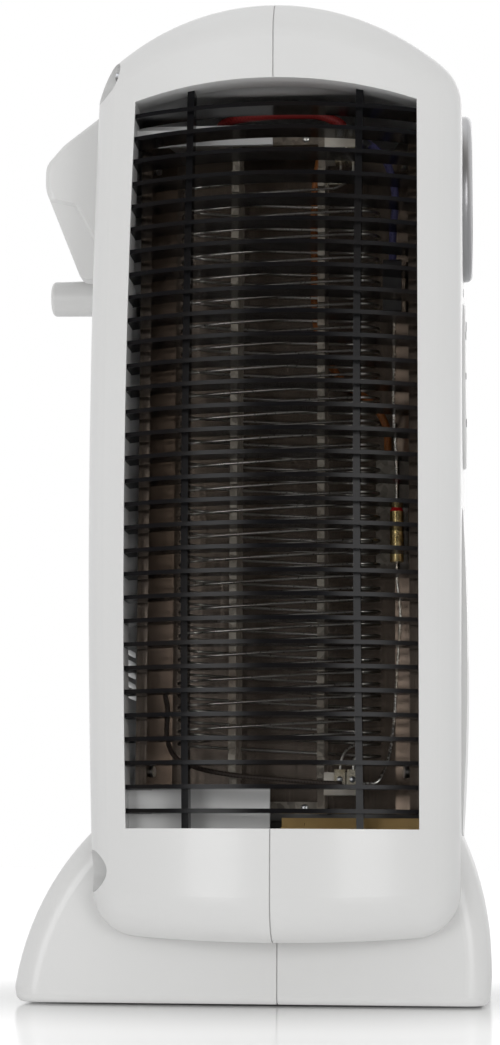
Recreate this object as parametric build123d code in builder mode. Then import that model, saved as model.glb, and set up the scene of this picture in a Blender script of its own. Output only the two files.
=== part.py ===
"""Upright two-sided fan heater.

The frame stands on the floor at z = 0. The front with the dials faces +X, the heater's left side
faces -Y. Lengths across the depth are measured from the seam between the two shells, and the seam
is placed so that the middle of the overall box is at x = 0.
"""

import os
from math import asin, cos, dist, pi, radians, sin, sqrt, tan

from build123d import *

os.makedirs("parts", exist_ok=True)

# Upright body
body_width = 150.0
body_height = 287.5
bow_radius = 91.0
rear_foot = 51.8
rear_reach = 55.1
rear_shoulder = 53.2
front_foot = 51.8
front_shoulder = 53.5
rear_shoulder_z = 271.0
front_shoulder_z = 267.5
rear_belly_z = 130.0
crown_offset = 2.5
pod_corner_z = 20.3
pod_bottom_z = 18.2
crown_corner = 15.0
pod_corner = 13.5
edge_round = 12.5
wall = 2.4
seam_width = 0.35
seam_depth = 0.5

# Flared base
base_rear = 76.0
base_front = 60.5
base_width = 99.6
base_z = 0.5
base_corner = 7.5
base_edge = 2.5
base_side_z = 4.5
base_nose_z = 9.0
base_draft = 0.6
heel_round = 3.5
toe_round = 8.0
rear_flare_top = (-52.2, 50.8)
rear_flare_middle = (-67.3, 31.1)
front_flare_top = (51.0, 50.8)
front_flare_middle = (58.1, 30.3)

# Side openings and grilles
sill_z = 49.6
opening_top_z = 262.6
opening_rear_z = 259.2
opening_front_z = 258.2
opening_belly_z = 145.0
opening_rear_sill = 41.4
opening_rear_belly = 43.1
opening_rear_top = 40.9
opening_front = 40.7
rim_wall = 1.8
rim_depth = 9.0
slat_count = 31
slat_top_z = 255.8
slat_pitch = 6.69
slat_thickness = 1.2
slat_inset = 1.2
slat_depth = 9.5
tip_reach = 0.7
comb_clearance = 0.15
rib_x = 24.4
rib_width = 2.0
rib_depth = 6.0
rib_inset = 3.4
rib_bow = 1.0

# Sheets and webs inside the shells
shelf_y = 56.0
shelf_thickness = 1.8
sill_wall_top = 61.3
apron_bottom = 247.8
apron_top = 252.6
sill_wall_gap = 1.5
ceiling_z = 254.0
ceiling_thickness = 2.0
ceiling_half_width = 50.0
ceiling_hole = 9.0
liner_thickness = 0.6
liner_gap = 0.3
liner_foot = 4.0
liner_top = 52.8

# Thermostat dial
dial_z = 245.3
dial_radius = 25.7
dial_face = 56.1
dial_recess = 0.9
dial_clearance = 0.4
dial_gap = 0.3
dial_rim = 2.1
dial_dish = 0.4
dial_dish_radius = 20.0
spindle_radius = 3.0
spindle_clearance = 0.06
spindle_inner = 40.0

# Selector disc
selector_z = 186.0
selector_radius = 25.5
selector_face = 53.9
selector_floor = 51.5
selector_edge = 0.8
selector_gap = 0.3
selector_grip_radius = 6.5
selector_grip_offset = -15.0
selector_grip_depth = 0.9

# Front cover
cover_bottom_z = 48.6
cover_top_z = 145.5
cover_middle_z = 97.0
cover_half_width = 34.0
cover_floor = 51.0
cover_crown = 54.0
cover_corner = 16.0
cover_clearance = 0.2
cover_overrun = 2.4

# Pilot lamp
lamp_y = -32.0
lamp_z = 215.5
lamp_radius = 2.6
lamp_drop = 0.1
lamp_tail = 44.0

# Thermostat and switch bodies
control_depth = 12.5
control_width = 22.0
control_height = 22.0
control_gap = 0.3

# Rear handle
handle_half_width = 35.0
handle_reach = 72.6
handle_root_z = 269.5
handle_brow = (-67.2, 255.8)
handle_tip_top = 249.5
handle_tip_bottom = 242.0
handle_foot_x = -61.3
handle_foot_z = 214.0
handle_skin = 3.6
strut_width = 7.0
cheek_thickness = 3.0
strut_drop = 1.1
strut_bevel = 38
handle_edge = 2.0
strut_edge_top = (-62.7, 237.2)
strut_edge_bottom = (-54.0, 221.2)
lip_bottom_z = 238.0
handle_screw_z = 218.4
rear_seat_drop = 1.0

# Cord peg
peg_z = 215.6
peg_radius = 5.7
peg_reach = 75.6
peg_taper = 0.3
peg_edge = 1.4

# Rear ribs and inlet slots
rear_rib_levels = (88.5, 108.7)
rear_rib_height = 2.4
rear_rib_proud = 0.6
rear_rib_half_width = 36.0
inlet_slot_count = 5
inlet_slot_pitch = 3.4
inlet_slot_height = 1.8
inlet_slot_length = 60.0

# Shell screws
screw_y = 56.0
upper_screw_z = 267.5
lower_screw_z = 37.7
recess_radius = 5.9
recess_wall = 1.8
upper_recess_floor = 46.0
lower_recess_floor = 42.0
boss_radius = 4.5
screw_shank = 1.6
screw_clearance = 0.05
screw_head = 3.2
screw_head_height = 1.8
slot_width = 1.0
screw_bite = 16.0
upper_boss_front = 47.5
lower_boss_front = 48.0

# Base plate, feet and their screws
plate_bottom = 3.0
plate_thickness = 2.6
plate_clearance = 0.3
plate_slot_count = 9
plate_slot_pitch = 8.0
plate_slot_length = 66.0
plate_slot_width = 3.4
foot_radius = 7.0
foot_peg = 2.0
foot_chamfer = 0.8
foot_x = (-58.0, 44.0)
foot_y = 30.0
post_x = (-62.0, 47.5)
post_y = 41.0
post_radius = 4.2
post_top = 20.0

# Air deck and fan shroud
deck_z = 52.0
deck_thickness = 2.0
deck_half_width = 48.0
deck_corner = 8.0
deck_clearance = 0.4
deck_hole_radius = 43.9
deck_lead_hole = 5.0
bridge_half_width = 30.0
ledge_depth = 4.0
ledge_height = 4.0
ledge_y = 40.0
ledge_width = 10.0
shroud_radius = 44.6
shroud_wall = 1.8
arm_thickness = 2.5
arm_width = 6.0
arm_hub_radius = 21.0
arm_bore = 9.0

# Fan
fan_bottom = 31.0
fan_top = 47.0
hub_radius = 14.0
hub_wall = 2.0
blade_tip = 43.3
blade_count = 7
blade_root_chord = 14.0
blade_tip_chord = 20.0
blade_root_pitch = 42.0
blade_tip_pitch = 28.0
blade_thickness = 1.5

# Motor
stator_bottom = 12.0
stator_thickness = 12.0
stator_rear = 18.0
stator_front = 36.0
stator_half_width = 19.0
stator_window = (19.0, 29.0)
stator_window_half = 9.5
rotor_radius = 12.4
rotor_gap = 0.4
rotor_end_gap = 0.4
shaft_radius = 2.0
shaft_clearance = 0.04
bracket_thickness = 1.2
bracket_half_length = 18.5
bracket_half_width = 6.0
bearing_radius = 4.5
bearing_height = 2.6
coil_wall = 3.6
coil_clearance = 0.2
motor_screw_y = 15.9
motor_screw_radius = 1.4
nut_radius = 2.8
nut_height = 1.8

# Element boards and reflectors
element_y = 46.0
board_x = 12.6
board_thickness = 2.1
board_half_depth = 9.3
board_notched_bottom = 64.0
board_notched_top = 241.0
board_top = 253.8
board_foot_inset = 3.0
board_bar_height = 3.5
board_bar_depth = 4.0
reflector_back_y = 29.0
reflector_back_x = 33.2
reflector_flank_x = 38.0
reflector_flank_y = 50.0
reflector_lip_x = 40.8
reflector_sheet = 0.8
reflector_top = 253.4
reflector_screw_radius = 1.6
reflector_screw_height = 0.8
reflector_screw_levels = (66.0, 244.0)

# Heating wires
wire_radius = 0.4
wire_half_depth = 8.6
wire_turn_radius = 7.0
wire_half_length = 28.9
wire_pitch = 6.9
wire_loops = 24
wire_first_z = 70.0
wire_notch_clearance = 0.3
wire_tail = 0.9

# Element terminals
block_length = 10.8
block_chamfer = 0.8
block_half_depth = 3.2
block_offset = 7.6
lower_block_bottom = 59.2
lower_block_top = 65.6
upper_block_bottom = 243.0
upper_block_top = 250.0
lug_x = (18.2, 21.8)
lug_size = 3.0
lug_thickness = 0.8
lug_tab = 3.6

# Thermal fuse, its card and the cut-out
fuse_x = 34.0
fuse_y = 46.5
fuse_radius = 2.0
fuse_bottom = 126.3
fuse_top = 141.0
fuse_cone = 3.6
fuse_card_x = (27.5, 33.8)
fuse_card_y = 34.3
fuse_card_thickness = 1.2
fuse_card_z = (124.0, 160.0)
cutout_x = (30.2, 35.6)
cutout_z = (199.0, 215.0)
cutout_half_depth = 3.0

# Leads
lead_radius = 1.1
sleeve_radius = 1.35
bare_lead_radius = 0.45
slack_lead_radius = 0.7
bend_share = 0.45
lead_spread = 7.0

# Mains terminal block and gland
mains_x = (-56.0, -42.0)
mains_half_width = 11.0
mains_height = 10.0
gland_y = 30.0
gland_z = 16.0
gland_radius = 5.0
gland_flange = 6.5
gland_bore = 3.3
gland_inner = 66.0
gland_clearance = 0.05

seam_x = (base_rear - base_front) / 2
bow_centre = bow_radius - body_width / 2
deck_top = deck_z + deck_thickness
plate_top = plate_bottom + plate_thickness
slat_levels = [slat_top_z - slat_pitch * i for i in range(slat_count)]


def level(z):
    """Level plane at height z, with the seam at its origin."""
    return Plane(origin=(seam_x, 0, z))


def side(y):
    """Upright plane facing -Y: its own x is the depth, its own y is the height."""
    return Plane(origin=(seam_x, y, 0), x_dir=(1, 0, 0), z_dir=(0, -1, 0))


def cross(x):
    """Upright plane facing +X: its own x is the width, its own y is the height."""
    return Plane(origin=(seam_x + x, 0, 0), x_dir=(0, 1, 0), z_dir=(1, 0, 0))


def slab(x0, x1, y0, y1, z0, z1, mode=Mode.ADD):
    """Rectangular block between two corners, in the part that is open."""
    with BuildSketch(level(z0)) as foot:
        with Locations(((x0 + x1) / 2, (y0 + y1) / 2)):
            Rectangle(x1 - x0, y1 - y0)
    extrude(foot.sketch, amount=z1 - z0, mode=mode)


def pin(x0, x1, y, z, radius, mode=Mode.ADD):
    """Round bar along the depth, in the part that is open."""
    with BuildSketch(cross(x0)) as foot:
        with Locations((y, z)):
            Circle(radius)
    extrude(foot.sketch, amount=x1 - x0, mode=mode)


def post(x, y, z0, z1, radius, mode=Mode.ADD):
    """Round upright bar, in the part that is open."""
    with BuildSketch(level(z0)) as foot:
        with Locations((x, y)):
            Circle(radius)
    extrude(foot.sketch, amount=z1 - z0, mode=mode)


def body_outline(inset):
    """Side view of the upright body, drawn in by an inset."""
    with BuildSketch(side(0)) as outline:
        with BuildLine():
            rear = ThreePointArc(
                (-rear_foot, pod_corner_z), (-rear_reach, rear_belly_z), (-rear_shoulder, rear_shoulder_z)
            )
            crown = ThreePointArc(
                rear @ 1, (-crown_offset, body_height), (front_shoulder, front_shoulder_z)
            )
            front = Line(crown @ 1, (front_foot, pod_corner_z))
            ThreePointArc(front @ 1, (0, pod_bottom_z), rear @ 0)
        make_face()
        if inset > 0:
            offset(amount=-inset, kind=Kind.INTERSECTION)
        fillet(outline.vertices().sort_by(Axis.Y)[-2:], crown_corner - inset)
        fillet(outline.vertices().sort_by(Axis.Y)[:2], pod_corner - inset)
    return outline.sketch


def body_plan(inset):
    """Plan of the two bowed sides, drawn in by an inset."""
    with BuildSketch(level(0)) as plan:
        with Locations((0, bow_centre)):
            Circle(bow_radius - inset)
        with Locations((0, -bow_centre)):
            Circle(bow_radius - inset, mode=Mode.INTERSECT)
    return plan.sketch


def body_block(inset):
    """Solid upright body with rounded edges, drawn in by an inset."""
    with BuildPart() as block:
        extrude(body_outline(inset), amount=body_width, both=True)
        extrude(body_plan(inset), amount=body_height + 1, mode=Mode.INTERSECT)
        sides = block.faces().sort_by(Axis.Y)
        fillet(sides[0].edges() + sides[-1].edges(), edge_round - inset)
    return block.part


def base_block(inset):
    """Solid flared base, drawn in by an inset."""
    with BuildPart() as block:
        with BuildSketch(side(0)) as profile:
            with BuildLine():
                rear = ThreePointArc(rear_flare_top, rear_flare_middle, (-base_rear, base_side_z))
                heel = Line(rear @ 1, (-base_rear + base_draft, base_z))
                sole = Line(heel @ 1, (base_front - base_draft, base_z))
                toe = Line(sole @ 1, (base_front, base_nose_z))
                front = ThreePointArc(toe @ 1, front_flare_middle, front_flare_top)
                Line(front @ 1, rear @ 0)
            make_face()
            if inset > 0:
                offset(amount=-inset, kind=Kind.INTERSECTION)
            fillet(profile.vertices().sort_by(Axis.X)[0], heel_round - inset)
            fillet(profile.vertices().sort_by(Axis.X)[-1], toe_round - inset)
        extrude(amount=base_width / 2 - inset, both=True)
        sides = block.faces().sort_by(Axis.Y)
        fillet((sides[0].edges() + sides[-1].edges()).filter_by(Axis.X, reverse=True), base_corner - inset)
        if inset < base_edge:
            fillet(block.faces().sort_by(Axis.Z)[0].edges(), base_edge - inset)
    return block.part


def base_plan(inset):
    """Plan of the opening under the base, drawn in from the outer walls."""
    with BuildSketch(level(0)) as plan:
        with Locations((-seam_x, 0)):
            RectangleRounded(base_rear + base_front - 2 * inset, base_width - 2 * inset, base_corner - inset)
    return plan.sketch


def front_x(z):
    """Depth of the nearly flat front face at a height."""
    return front_foot + (front_shoulder - front_foot) * (z - pod_corner_z) / (front_shoulder_z - pod_corner_z)


def opening_outline(grow):
    """Side view of the tall grille opening, grown outward."""
    with BuildSketch(side(0)) as outline:
        with BuildLine():
            rear = ThreePointArc(
                (-opening_rear_sill, sill_z),
                (-opening_rear_belly, opening_belly_z),
                (-opening_rear_top, opening_rear_z),
            )
            head = ThreePointArc(rear @ 1, (0, opening_top_z), (opening_front, opening_front_z))
            Polyline(head @ 1, (opening_front, sill_z), rear @ 0)
        make_face()
        if grow > 0:
            offset(amount=grow, kind=Kind.INTERSECTION)
    return outline.sketch


def crescent(outer_inset, inner_inset):
    """Plan of a strip that follows the bowed left side, between two insets."""
    strip_half = bow_radius / 2
    strip_depth = body_width / 2 - bow_centre
    with BuildSketch(level(0)) as strip:
        with Locations((0, bow_centre)):
            Circle(bow_radius - outer_inset)
            Circle(bow_radius - inner_inset, mode=Mode.SUBTRACT)
        with Locations((0, -bow_centre - strip_depth / 2 - bow_centre)):
            Rectangle(2 * strip_half, strip_depth, mode=Mode.INTERSECT)
    return strip.sketch


def rear_edge(z):
    """Depth of the bowed rear edge of the opening at height z."""
    edge = ThreePointArc(
        (-opening_rear_sill, sill_z), (-opening_rear_belly, opening_belly_z),
        (-opening_rear_top, opening_rear_z)
    )
    return edge.arc_center.X - sqrt(edge.radius**2 - (z - edge.arc_center.Y) ** 2)


def slat(z, outer_inset, inner_inset, end_grow):
    """Plan of one left-hand slat: a bowed strip cut to the opening's depth at its height."""
    rear_end = rear_edge(z)
    with BuildSketch(level(z)) as strip:
        with Locations((0, bow_centre)):
            Circle(bow_radius - outer_inset)
            Circle(bow_radius - inner_inset, mode=Mode.SUBTRACT)
        with Locations(((rear_end + opening_front) / 2, -body_width / 2)):
            Rectangle(opening_front - rear_end + 2 * end_grow, body_width, mode=Mode.INTERSECT)
    return strip.sketch


def mirrored(shape):
    """Copy of a left-hand piece for the right-hand side."""
    with BuildPart() as copy:
        add(shape)
        mirror(about=Plane.XZ, mode=Mode.REPLACE)
    return copy.part


outer_body = body_block(0)

# Hollow housing of both shells
with BuildPart() as rims:
    extrude(opening_outline(rim_wall), amount=body_width, both=True)
    extrude(opening_outline(0), amount=body_width, both=True, mode=Mode.SUBTRACT)
    add(outer_body, mode=Mode.INTERSECT)
    add(body_block(rim_depth), mode=Mode.SUBTRACT)

with BuildPart() as outer_form:
    add(outer_body)
    add(base_block(0))

with BuildPart() as room:
    add(body_block(wall))
    add(base_block(wall))
    extrude(base_plan(wall + base_draft), amount=plate_top + wall)

with BuildPart() as seam_groove:
    slab(-seam_width / 2, seam_width / 2, -body_width, body_width, -1, body_height + 1)
    add(body_block(seam_depth), mode=Mode.SUBTRACT)
    add(base_block(seam_depth), mode=Mode.SUBTRACT)



def comb_slot(z):
    """Slot for the ends of the slat at height z, with clearance all round."""
    opening = slat(z + comb_clearance, slat_inset - comb_clearance,
                   slat_inset + slat_depth + comb_clearance, tip_reach + comb_clearance)
    extrude(opening, amount=-slat_thickness - 2 * comb_clearance)


with BuildPart() as comb_slots:
    for z in slat_levels:
        comb_slot(z)
    mirror(about=Plane.XZ)

with BuildPart() as wall_slots:
    for z in slat_levels:
        if z - slat_thickness < sill_wall_top or z > apron_bottom:
            comb_slot(z)
    mirror(about=Plane.XZ)

with BuildPart() as shelves:
    for sign in (-1, 1):
        near, far = sorted((sign * shelf_y, sign * body_width / 2))
        slab(-opening_rear_sill - rim_wall, opening_front + rim_wall, near, far,
             sill_z - shelf_thickness, sill_z)
    add(body_block(wall / 2), mode=Mode.INTERSECT)

with BuildPart() as housing:
    add(outer_form.part)
    add(room.part, mode=Mode.SUBTRACT)
    add(rims.part)
    add(shelves.part)
    extrude(opening_outline(0), amount=body_width, both=True, mode=Mode.SUBTRACT)
    add(comb_slots.part, mode=Mode.SUBTRACT)
    add(seam_groove.part, mode=Mode.SUBTRACT)


def plate_posts(x):
    """Two screw posts for the base plate, each tied to the base wall by a rib."""
    inner_wall = base_width / 2 - wall / 2
    for sign in (-1, 1):
        post(x, sign * post_y, plate_top, post_top, post_radius)
        near, far = sorted((sign * post_y, sign * inner_wall))
        slab(x - wall / 2, x + wall / 2, near, far, plate_top, post_top)


def deck_ledges(x_wall, x_end):
    """Four blocks under the air deck, on the inside of a shell."""
    for sign in (-1, 1):
        slab(min(x_wall, x_end), max(x_wall, x_end), sign * ledge_y - ledge_width / 2,
             sign * ledge_y + ledge_width / 2, deck_z - ledge_height, deck_z)


# Front shell: dials, lamp and cover sit in it, and it takes the threads of the shell screws
with BuildPart() as front_shell:
    add(housing.part)
    split(bisect_by=cross(0), keep=Keep.TOP)
    for sign in (-1, 1):
        pin(0, upper_boss_front, sign * screw_y, upper_screw_z, boss_radius)
        pin(0, lower_boss_front, sign * screw_y, lower_screw_z, boss_radius)
        pin(-1, screw_bite, sign * screw_y, upper_screw_z, screw_shank + screw_clearance,
            mode=Mode.SUBTRACT)
        pin(-1, screw_bite, sign * screw_y, lower_screw_z, screw_shank + screw_clearance,
            mode=Mode.SUBTRACT)
    plate_posts(post_x[1])
    deck_ledges(front_foot, front_foot - wall - ledge_depth)
    with BuildSketch(cross(selector_floor)):
        with Locations((0, selector_z)):
            Circle(selector_radius + selector_gap)
    extrude(amount=wall * 2, mode=Mode.SUBTRACT)
    with BuildSketch(cross(cover_floor)):
        with Locations((0, (cover_bottom_z + cover_top_z) / 2)):
            RectangleRounded(
                2 * (cover_half_width + cover_clearance),
                cover_top_z - cover_bottom_z + 2 * cover_clearance,
                cover_corner + cover_clearance,
            )
    extrude(amount=wall * 2, mode=Mode.SUBTRACT)
    pin(front_shoulder - dial_recess, base_front, 0, dial_z, dial_radius + dial_clearance, mode=Mode.SUBTRACT)
    pin(spindle_inner, base_front, 0, dial_z, spindle_radius + spindle_clearance, mode=Mode.SUBTRACT)
    pin(spindle_inner, base_front, 0, selector_z, spindle_radius + spindle_clearance, mode=Mode.SUBTRACT)
    pin(spindle_inner, base_front, lamp_y, lamp_z, lamp_radius + screw_clearance, mode=Mode.SUBTRACT)
    for sign in (-1, 1):
        post(post_x[1], sign * post_y, plate_bottom, post_top - wall, screw_shank + screw_clearance,
             mode=Mode.SUBTRACT)
    add(outer_form.part, mode=Mode.INTERSECT)
front_shell.part.label = "front_shell"
export_step(front_shell.part, "parts/front_shell.step")

# Rear shell: screw recesses, ceiling and sill walls, raised ribs and inlet slots
with BuildPart() as rear_ribs:
    for z in rear_rib_levels:
        slab(-rear_reach - rear_rib_proud, -rear_reach + wall, -rear_rib_half_width, rear_rib_half_width,
             z - rear_rib_height / 2, z + rear_rib_height / 2)
    fillet(rear_ribs.edges().filter_by(Axis.Y).group_by(Axis.X)[0], rear_rib_proud / 2)
    add(room.part, mode=Mode.SUBTRACT)

with BuildPart() as rear_shell:
    add(housing.part)
    split(bisect_by=cross(0), keep=Keep.BOTTOM)
    for floor, z in ((upper_recess_floor, upper_screw_z), (lower_recess_floor, lower_screw_z)):
        for sign in (-1, 1):
            pin(-rear_reach - 5, -floor + recess_wall, sign * screw_y, z, recess_radius + recess_wall)
            pin(-floor, 0, sign * screw_y, z, boss_radius)
    plate_posts(post_x[0])
    deck_ledges(-rear_reach, -rear_foot + wall + ledge_depth)
    slab(-rear_reach + wall / 2, -seam_width, -ceiling_half_width, ceiling_half_width,
         ceiling_z, ceiling_z + ceiling_thickness)
    for sign in (-1, 1):
        near, far = sorted((sign * shelf_y, sign * (shelf_y + shelf_thickness)))
        slab(-opening_rear_sill - rim_wall, -sill_wall_gap, near, far, sill_z - shelf_thickness,
             sill_wall_top)
        slab(-opening_rear_sill - rim_wall, -sill_wall_gap, near, far, apron_bottom, apron_top)
    add(wall_slots.part, mode=Mode.SUBTRACT)
    add(outer_form.part, mode=Mode.INTERSECT)
    add(rear_ribs.part)
    for floor, z in ((upper_recess_floor, upper_screw_z), (lower_recess_floor, lower_screw_z)):
        for sign in (-1, 1):
            pin(-base_rear, -floor, sign * screw_y, z, recess_radius, mode=Mode.SUBTRACT)
            pin(-floor - 1, 1, sign * screw_y, z, screw_shank + screw_clearance, mode=Mode.SUBTRACT)
    with BuildSketch(cross(-rear_reach - 5)):
        with Locations((0, sum(rear_rib_levels) / 2)):
            with GridLocations(0, inlet_slot_pitch, 1, inlet_slot_count):
                SlotOverall(inlet_slot_length, inlet_slot_height)
    extrude(amount=5 + 3 * wall, mode=Mode.SUBTRACT)
    for sign in (-1, 1):
        pin(-base_rear, -rear_reach + 3 * wall, sign * (handle_half_width - strut_width / 2),
            handle_screw_z, screw_shank + screw_clearance, mode=Mode.SUBTRACT)
        post(post_x[0], sign * post_y, plate_bottom, post_top - wall, screw_shank + screw_clearance,
             mode=Mode.SUBTRACT)
    pin(-base_rear, -rear_reach + 3 * wall, 0, peg_z, screw_shank + screw_clearance, mode=Mode.SUBTRACT)
    pin(-base_rear - 1, -gland_inner, gland_y, gland_z, gland_radius + gland_clearance,
        mode=Mode.SUBTRACT)
    post(-rear_reach / 2, 0, ceiling_z - 1, ceiling_z + ceiling_thickness + 1, ceiling_hole,
         mode=Mode.SUBTRACT)
rear_shell.part.label = "rear_shell"
export_step(rear_shell.part, "parts/rear_shell.step")

# Side grilles: bowed slats on two upright ribs, with their tips in the combs of the rims
with BuildPart() as rib_bars:
    for centre in (-rib_x, rib_x):
        with BuildSketch(side(0)):
            with BuildLine():
                rear = ThreePointArc(
                    (centre - rib_width / 2, sill_z - 1),
                    (centre - rib_width / 2 - rib_bow, opening_belly_z),
                    (centre - rib_width / 2, opening_top_z),
                )
                head = Line(rear @ 1, (centre + rib_width / 2, opening_top_z))
                front = ThreePointArc(
                    head @ 1,
                    (centre + rib_width / 2 - rib_bow, opening_belly_z),
                    (centre + rib_width / 2, sill_z - 1),
                )
                Line(front @ 1, rear @ 0)
            make_face()
        extrude(amount=body_width / 2)
    strip = crescent(slat_inset + rib_inset, slat_inset + rib_inset + rib_depth)
    extrude(strip, amount=body_height, mode=Mode.INTERSECT)
    extrude(opening_outline(0), amount=body_width, both=True, mode=Mode.INTERSECT)
with BuildPart() as side_grille_left:
    add(rib_bars.part)
    for z in slat_levels:
        extrude(slat(z, slat_inset, slat_inset + slat_depth, tip_reach), amount=-slat_thickness)
side_grille_left.part.label = "side_grille_left"
export_step(side_grille_left.part, "parts/side_grille_left.step")
side_grille_right = mirrored(side_grille_left.part)
side_grille_right.label = "side_grille_right"
export_step(side_grille_right, "parts/side_grille_right.step")


# Thermostat dial: dished disc on a spindle through the front wall
with BuildPart() as thermostat_knob:
    pin(front_shoulder - dial_recess + dial_gap, dial_face, 0, dial_z, dial_radius)
    fillet(thermostat_knob.faces().sort_by(Axis.X)[-1].edges(), dial_rim)
    pin(dial_face - dial_dish, dial_face + dial_dish, 0, dial_z, dial_dish_radius, mode=Mode.SUBTRACT)
    pin(spindle_inner, front_shoulder - dial_recess + dial_gap, 0, dial_z, spindle_radius)
thermostat_knob.part.label = "thermostat_knob"
export_step(thermostat_knob.part, "parts/thermostat_knob.step")

# Selector: low disc in a round pocket, turned by a finger dimple
with BuildPart() as selector_knob:
    pin(selector_floor + selector_gap, selector_face, 0, selector_z, selector_radius)
    fillet(selector_knob.faces().sort_by(Axis.X)[-1].edges(), selector_edge)
    pin(selector_face - selector_grip_depth, selector_face + selector_grip_depth, 0,
        selector_z + selector_grip_offset, selector_grip_radius, mode=Mode.SUBTRACT)
    pin(spindle_inner, selector_floor + selector_gap, 0, selector_z, spindle_radius)
selector_knob.part.label = "selector_knob"
export_step(selector_knob.part, "parts/selector_knob.step")


def control_box(z):
    """Control body behind the front wall, bored for the spindle of its dial."""
    front = front_x(z - control_height / 2) - wall - control_gap
    slab(front - control_depth, front, -control_width / 2, control_width / 2,
         z - control_height / 2, z + control_height / 2)
    pin(spindle_inner - control_gap, front + wall, 0, z, spindle_radius + spindle_clearance,
        mode=Mode.SUBTRACT)


with BuildPart() as thermostat_body:
    control_box(dial_z)
thermostat_body.part.label = "thermostat_body"
export_step(thermostat_body.part, "parts/thermostat_body.step")

with BuildPart() as selector_switch:
    control_box(selector_z)
selector_switch.part.label = "selector_switch"
export_step(selector_switch.part, "parts/selector_switch.step")

# Pilot lamp: its lens fills a hole in the front wall and ends just under the surface
with BuildPart() as pilot_lamp:
    pin(lamp_tail, front_x(lamp_z) - lamp_drop, lamp_y, lamp_z, lamp_radius)
pilot_lamp.part.label = "pilot_lamp"
export_step(pilot_lamp.part, "parts/pilot_lamp.step")

# Front cover: crowned plate in a shallow pocket under the dials
with BuildPart() as front_cover:
    with BuildSketch(side(0)):
        with BuildLine():
            crown = ThreePointArc(
                (front_x(cover_bottom_z), cover_bottom_z - cover_overrun),
                (cover_crown, cover_middle_z),
                (front_x(cover_top_z), cover_top_z + cover_overrun),
            )
            Polyline(crown @ 1, (cover_floor, cover_top_z + cover_overrun),
                     (cover_floor, cover_bottom_z - cover_overrun), crown @ 0)
        make_face()
    extrude(amount=cover_half_width + cover_overrun, both=True)
    with BuildSketch(cross(cover_floor)):
        with Locations((0, (cover_bottom_z + cover_top_z) / 2)):
            RectangleRounded(2 * cover_half_width, cover_top_z - cover_bottom_z, cover_corner)
    extrude(amount=2 * wall, mode=Mode.INTERSECT)
front_cover.part.label = "front_cover"
export_step(front_cover.part, "parts/front_cover.step")

# Rear handle: hood over a finger space, on two struts set back from the faces of the cheeks
with BuildSketch(side(0)) as handle_outline:
    with BuildLine():
        root = (-rear_foot + wall, handle_root_z)
        heel = (-rear_foot + wall, handle_foot_z)
        path = FilletPolyline(
            root, handle_brow, (-handle_reach, handle_tip_top), (-handle_reach, handle_tip_bottom),
            (handle_foot_x, handle_foot_z), heel, radius=[10, 6, 10, 2.6],
        )
        Line(path @ 1, path @ 0)
    make_face()
with BuildSketch(side(0)) as handle_cavity:
    add(handle_outline.sketch_local)
    offset(amount=-handle_skin)
with BuildSketch(side(0)) as cheek_side:
    with BuildLine():
        Polyline(strut_edge_top, strut_edge_bottom, (-rear_foot + wall, strut_edge_bottom[1]),
                 (-rear_foot + wall, handle_root_z), (strut_edge_top[0], handle_root_z), strut_edge_top)
    make_face()
with BuildPart() as cheek_pocket:
    extrude(handle_cavity.sketch, amount=handle_half_width - cheek_thickness, both=True)
    extrude(cheek_side.sketch, amount=handle_half_width, both=True, mode=Mode.INTERSECT)
with BuildPart() as rear_handle:
    extrude(handle_outline.sketch, amount=handle_half_width, both=True)
    ends = rear_handle.faces().sort_by(Axis.Y)
    fillet((ends[0].edges() + ends[-1].edges()).filter_by(lambda e: e.center().X < seam_x - rear_foot - 1),
           handle_edge)
    extrude(handle_cavity.sketch, amount=handle_half_width - strut_width, both=True, mode=Mode.SUBTRACT)
    slab(-handle_reach - 1, -rear_foot, -handle_half_width + strut_width, handle_half_width - strut_width,
         handle_foot_z - 1, lip_bottom_z, mode=Mode.SUBTRACT)
    add(cheek_pocket.part, mode=Mode.SUBTRACT)
    for sign in (-1, 1):
        with BuildSketch(side(sign * handle_half_width)) as strut_face:
            with BuildLine():
                Polyline(strut_edge_top, strut_edge_bottom, (-rear_foot + wall, strut_edge_bottom[1]),
                         (-rear_foot + wall, handle_foot_z - handle_edge),
                         (-handle_reach - wall, handle_foot_z - handle_edge),
                         (-handle_reach - wall, handle_tip_bottom - handle_edge), strut_edge_top)
            make_face()
        extrude(strut_face.sketch, amount=sign * strut_drop, taper=strut_bevel, mode=Mode.SUBTRACT)
    add(outer_body, mode=Mode.SUBTRACT)
    for sign in (-1, 1):
        pin(handle_foot_x, -rear_foot, sign * (handle_half_width - strut_width / 2), handle_screw_z,
            screw_shank + screw_clearance, mode=Mode.SUBTRACT)
rear_handle.part.label = "rear_handle"
export_step(rear_handle.part, "parts/rear_handle.step")

# Cord peg: slightly tapered round peg with a rounded end
with BuildPart() as cord_peg:
    with BuildSketch(side(0)) as peg_half:
        with BuildLine():
            Polyline((-rear_foot, peg_z), (-rear_foot, peg_z + peg_radius),
                     (-peg_reach, peg_z + peg_radius - peg_taper), (-peg_reach, peg_z),
                     (-rear_foot, peg_z))
        make_face()
        tip = peg_half.vertices().sort_by(Axis.X)[:2].sort_by(Axis.Y)[-1:]
        fillet(tip, peg_edge)
    revolve(axis=Axis((seam_x, 0, peg_z), (1, 0, 0)))
    add(outer_body, mode=Mode.SUBTRACT)
    pin(-peg_reach + 3 * wall, -rear_foot, 0, peg_z, screw_shank + screw_clearance, mode=Mode.SUBTRACT)
cord_peg.part.label = "cord_peg"
export_step(cord_peg.part, "parts/cord_peg.step")


def slotted_head(x, y, z, length):
    """Screw head that faces the rear, with a driver slot."""
    pin(x - length, x, y, z, screw_head)
    slab(x - length, x - length / 2, y - screw_head, y + screw_head, z - slot_width / 2,
         z + slot_width / 2, mode=Mode.SUBTRACT)


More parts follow.
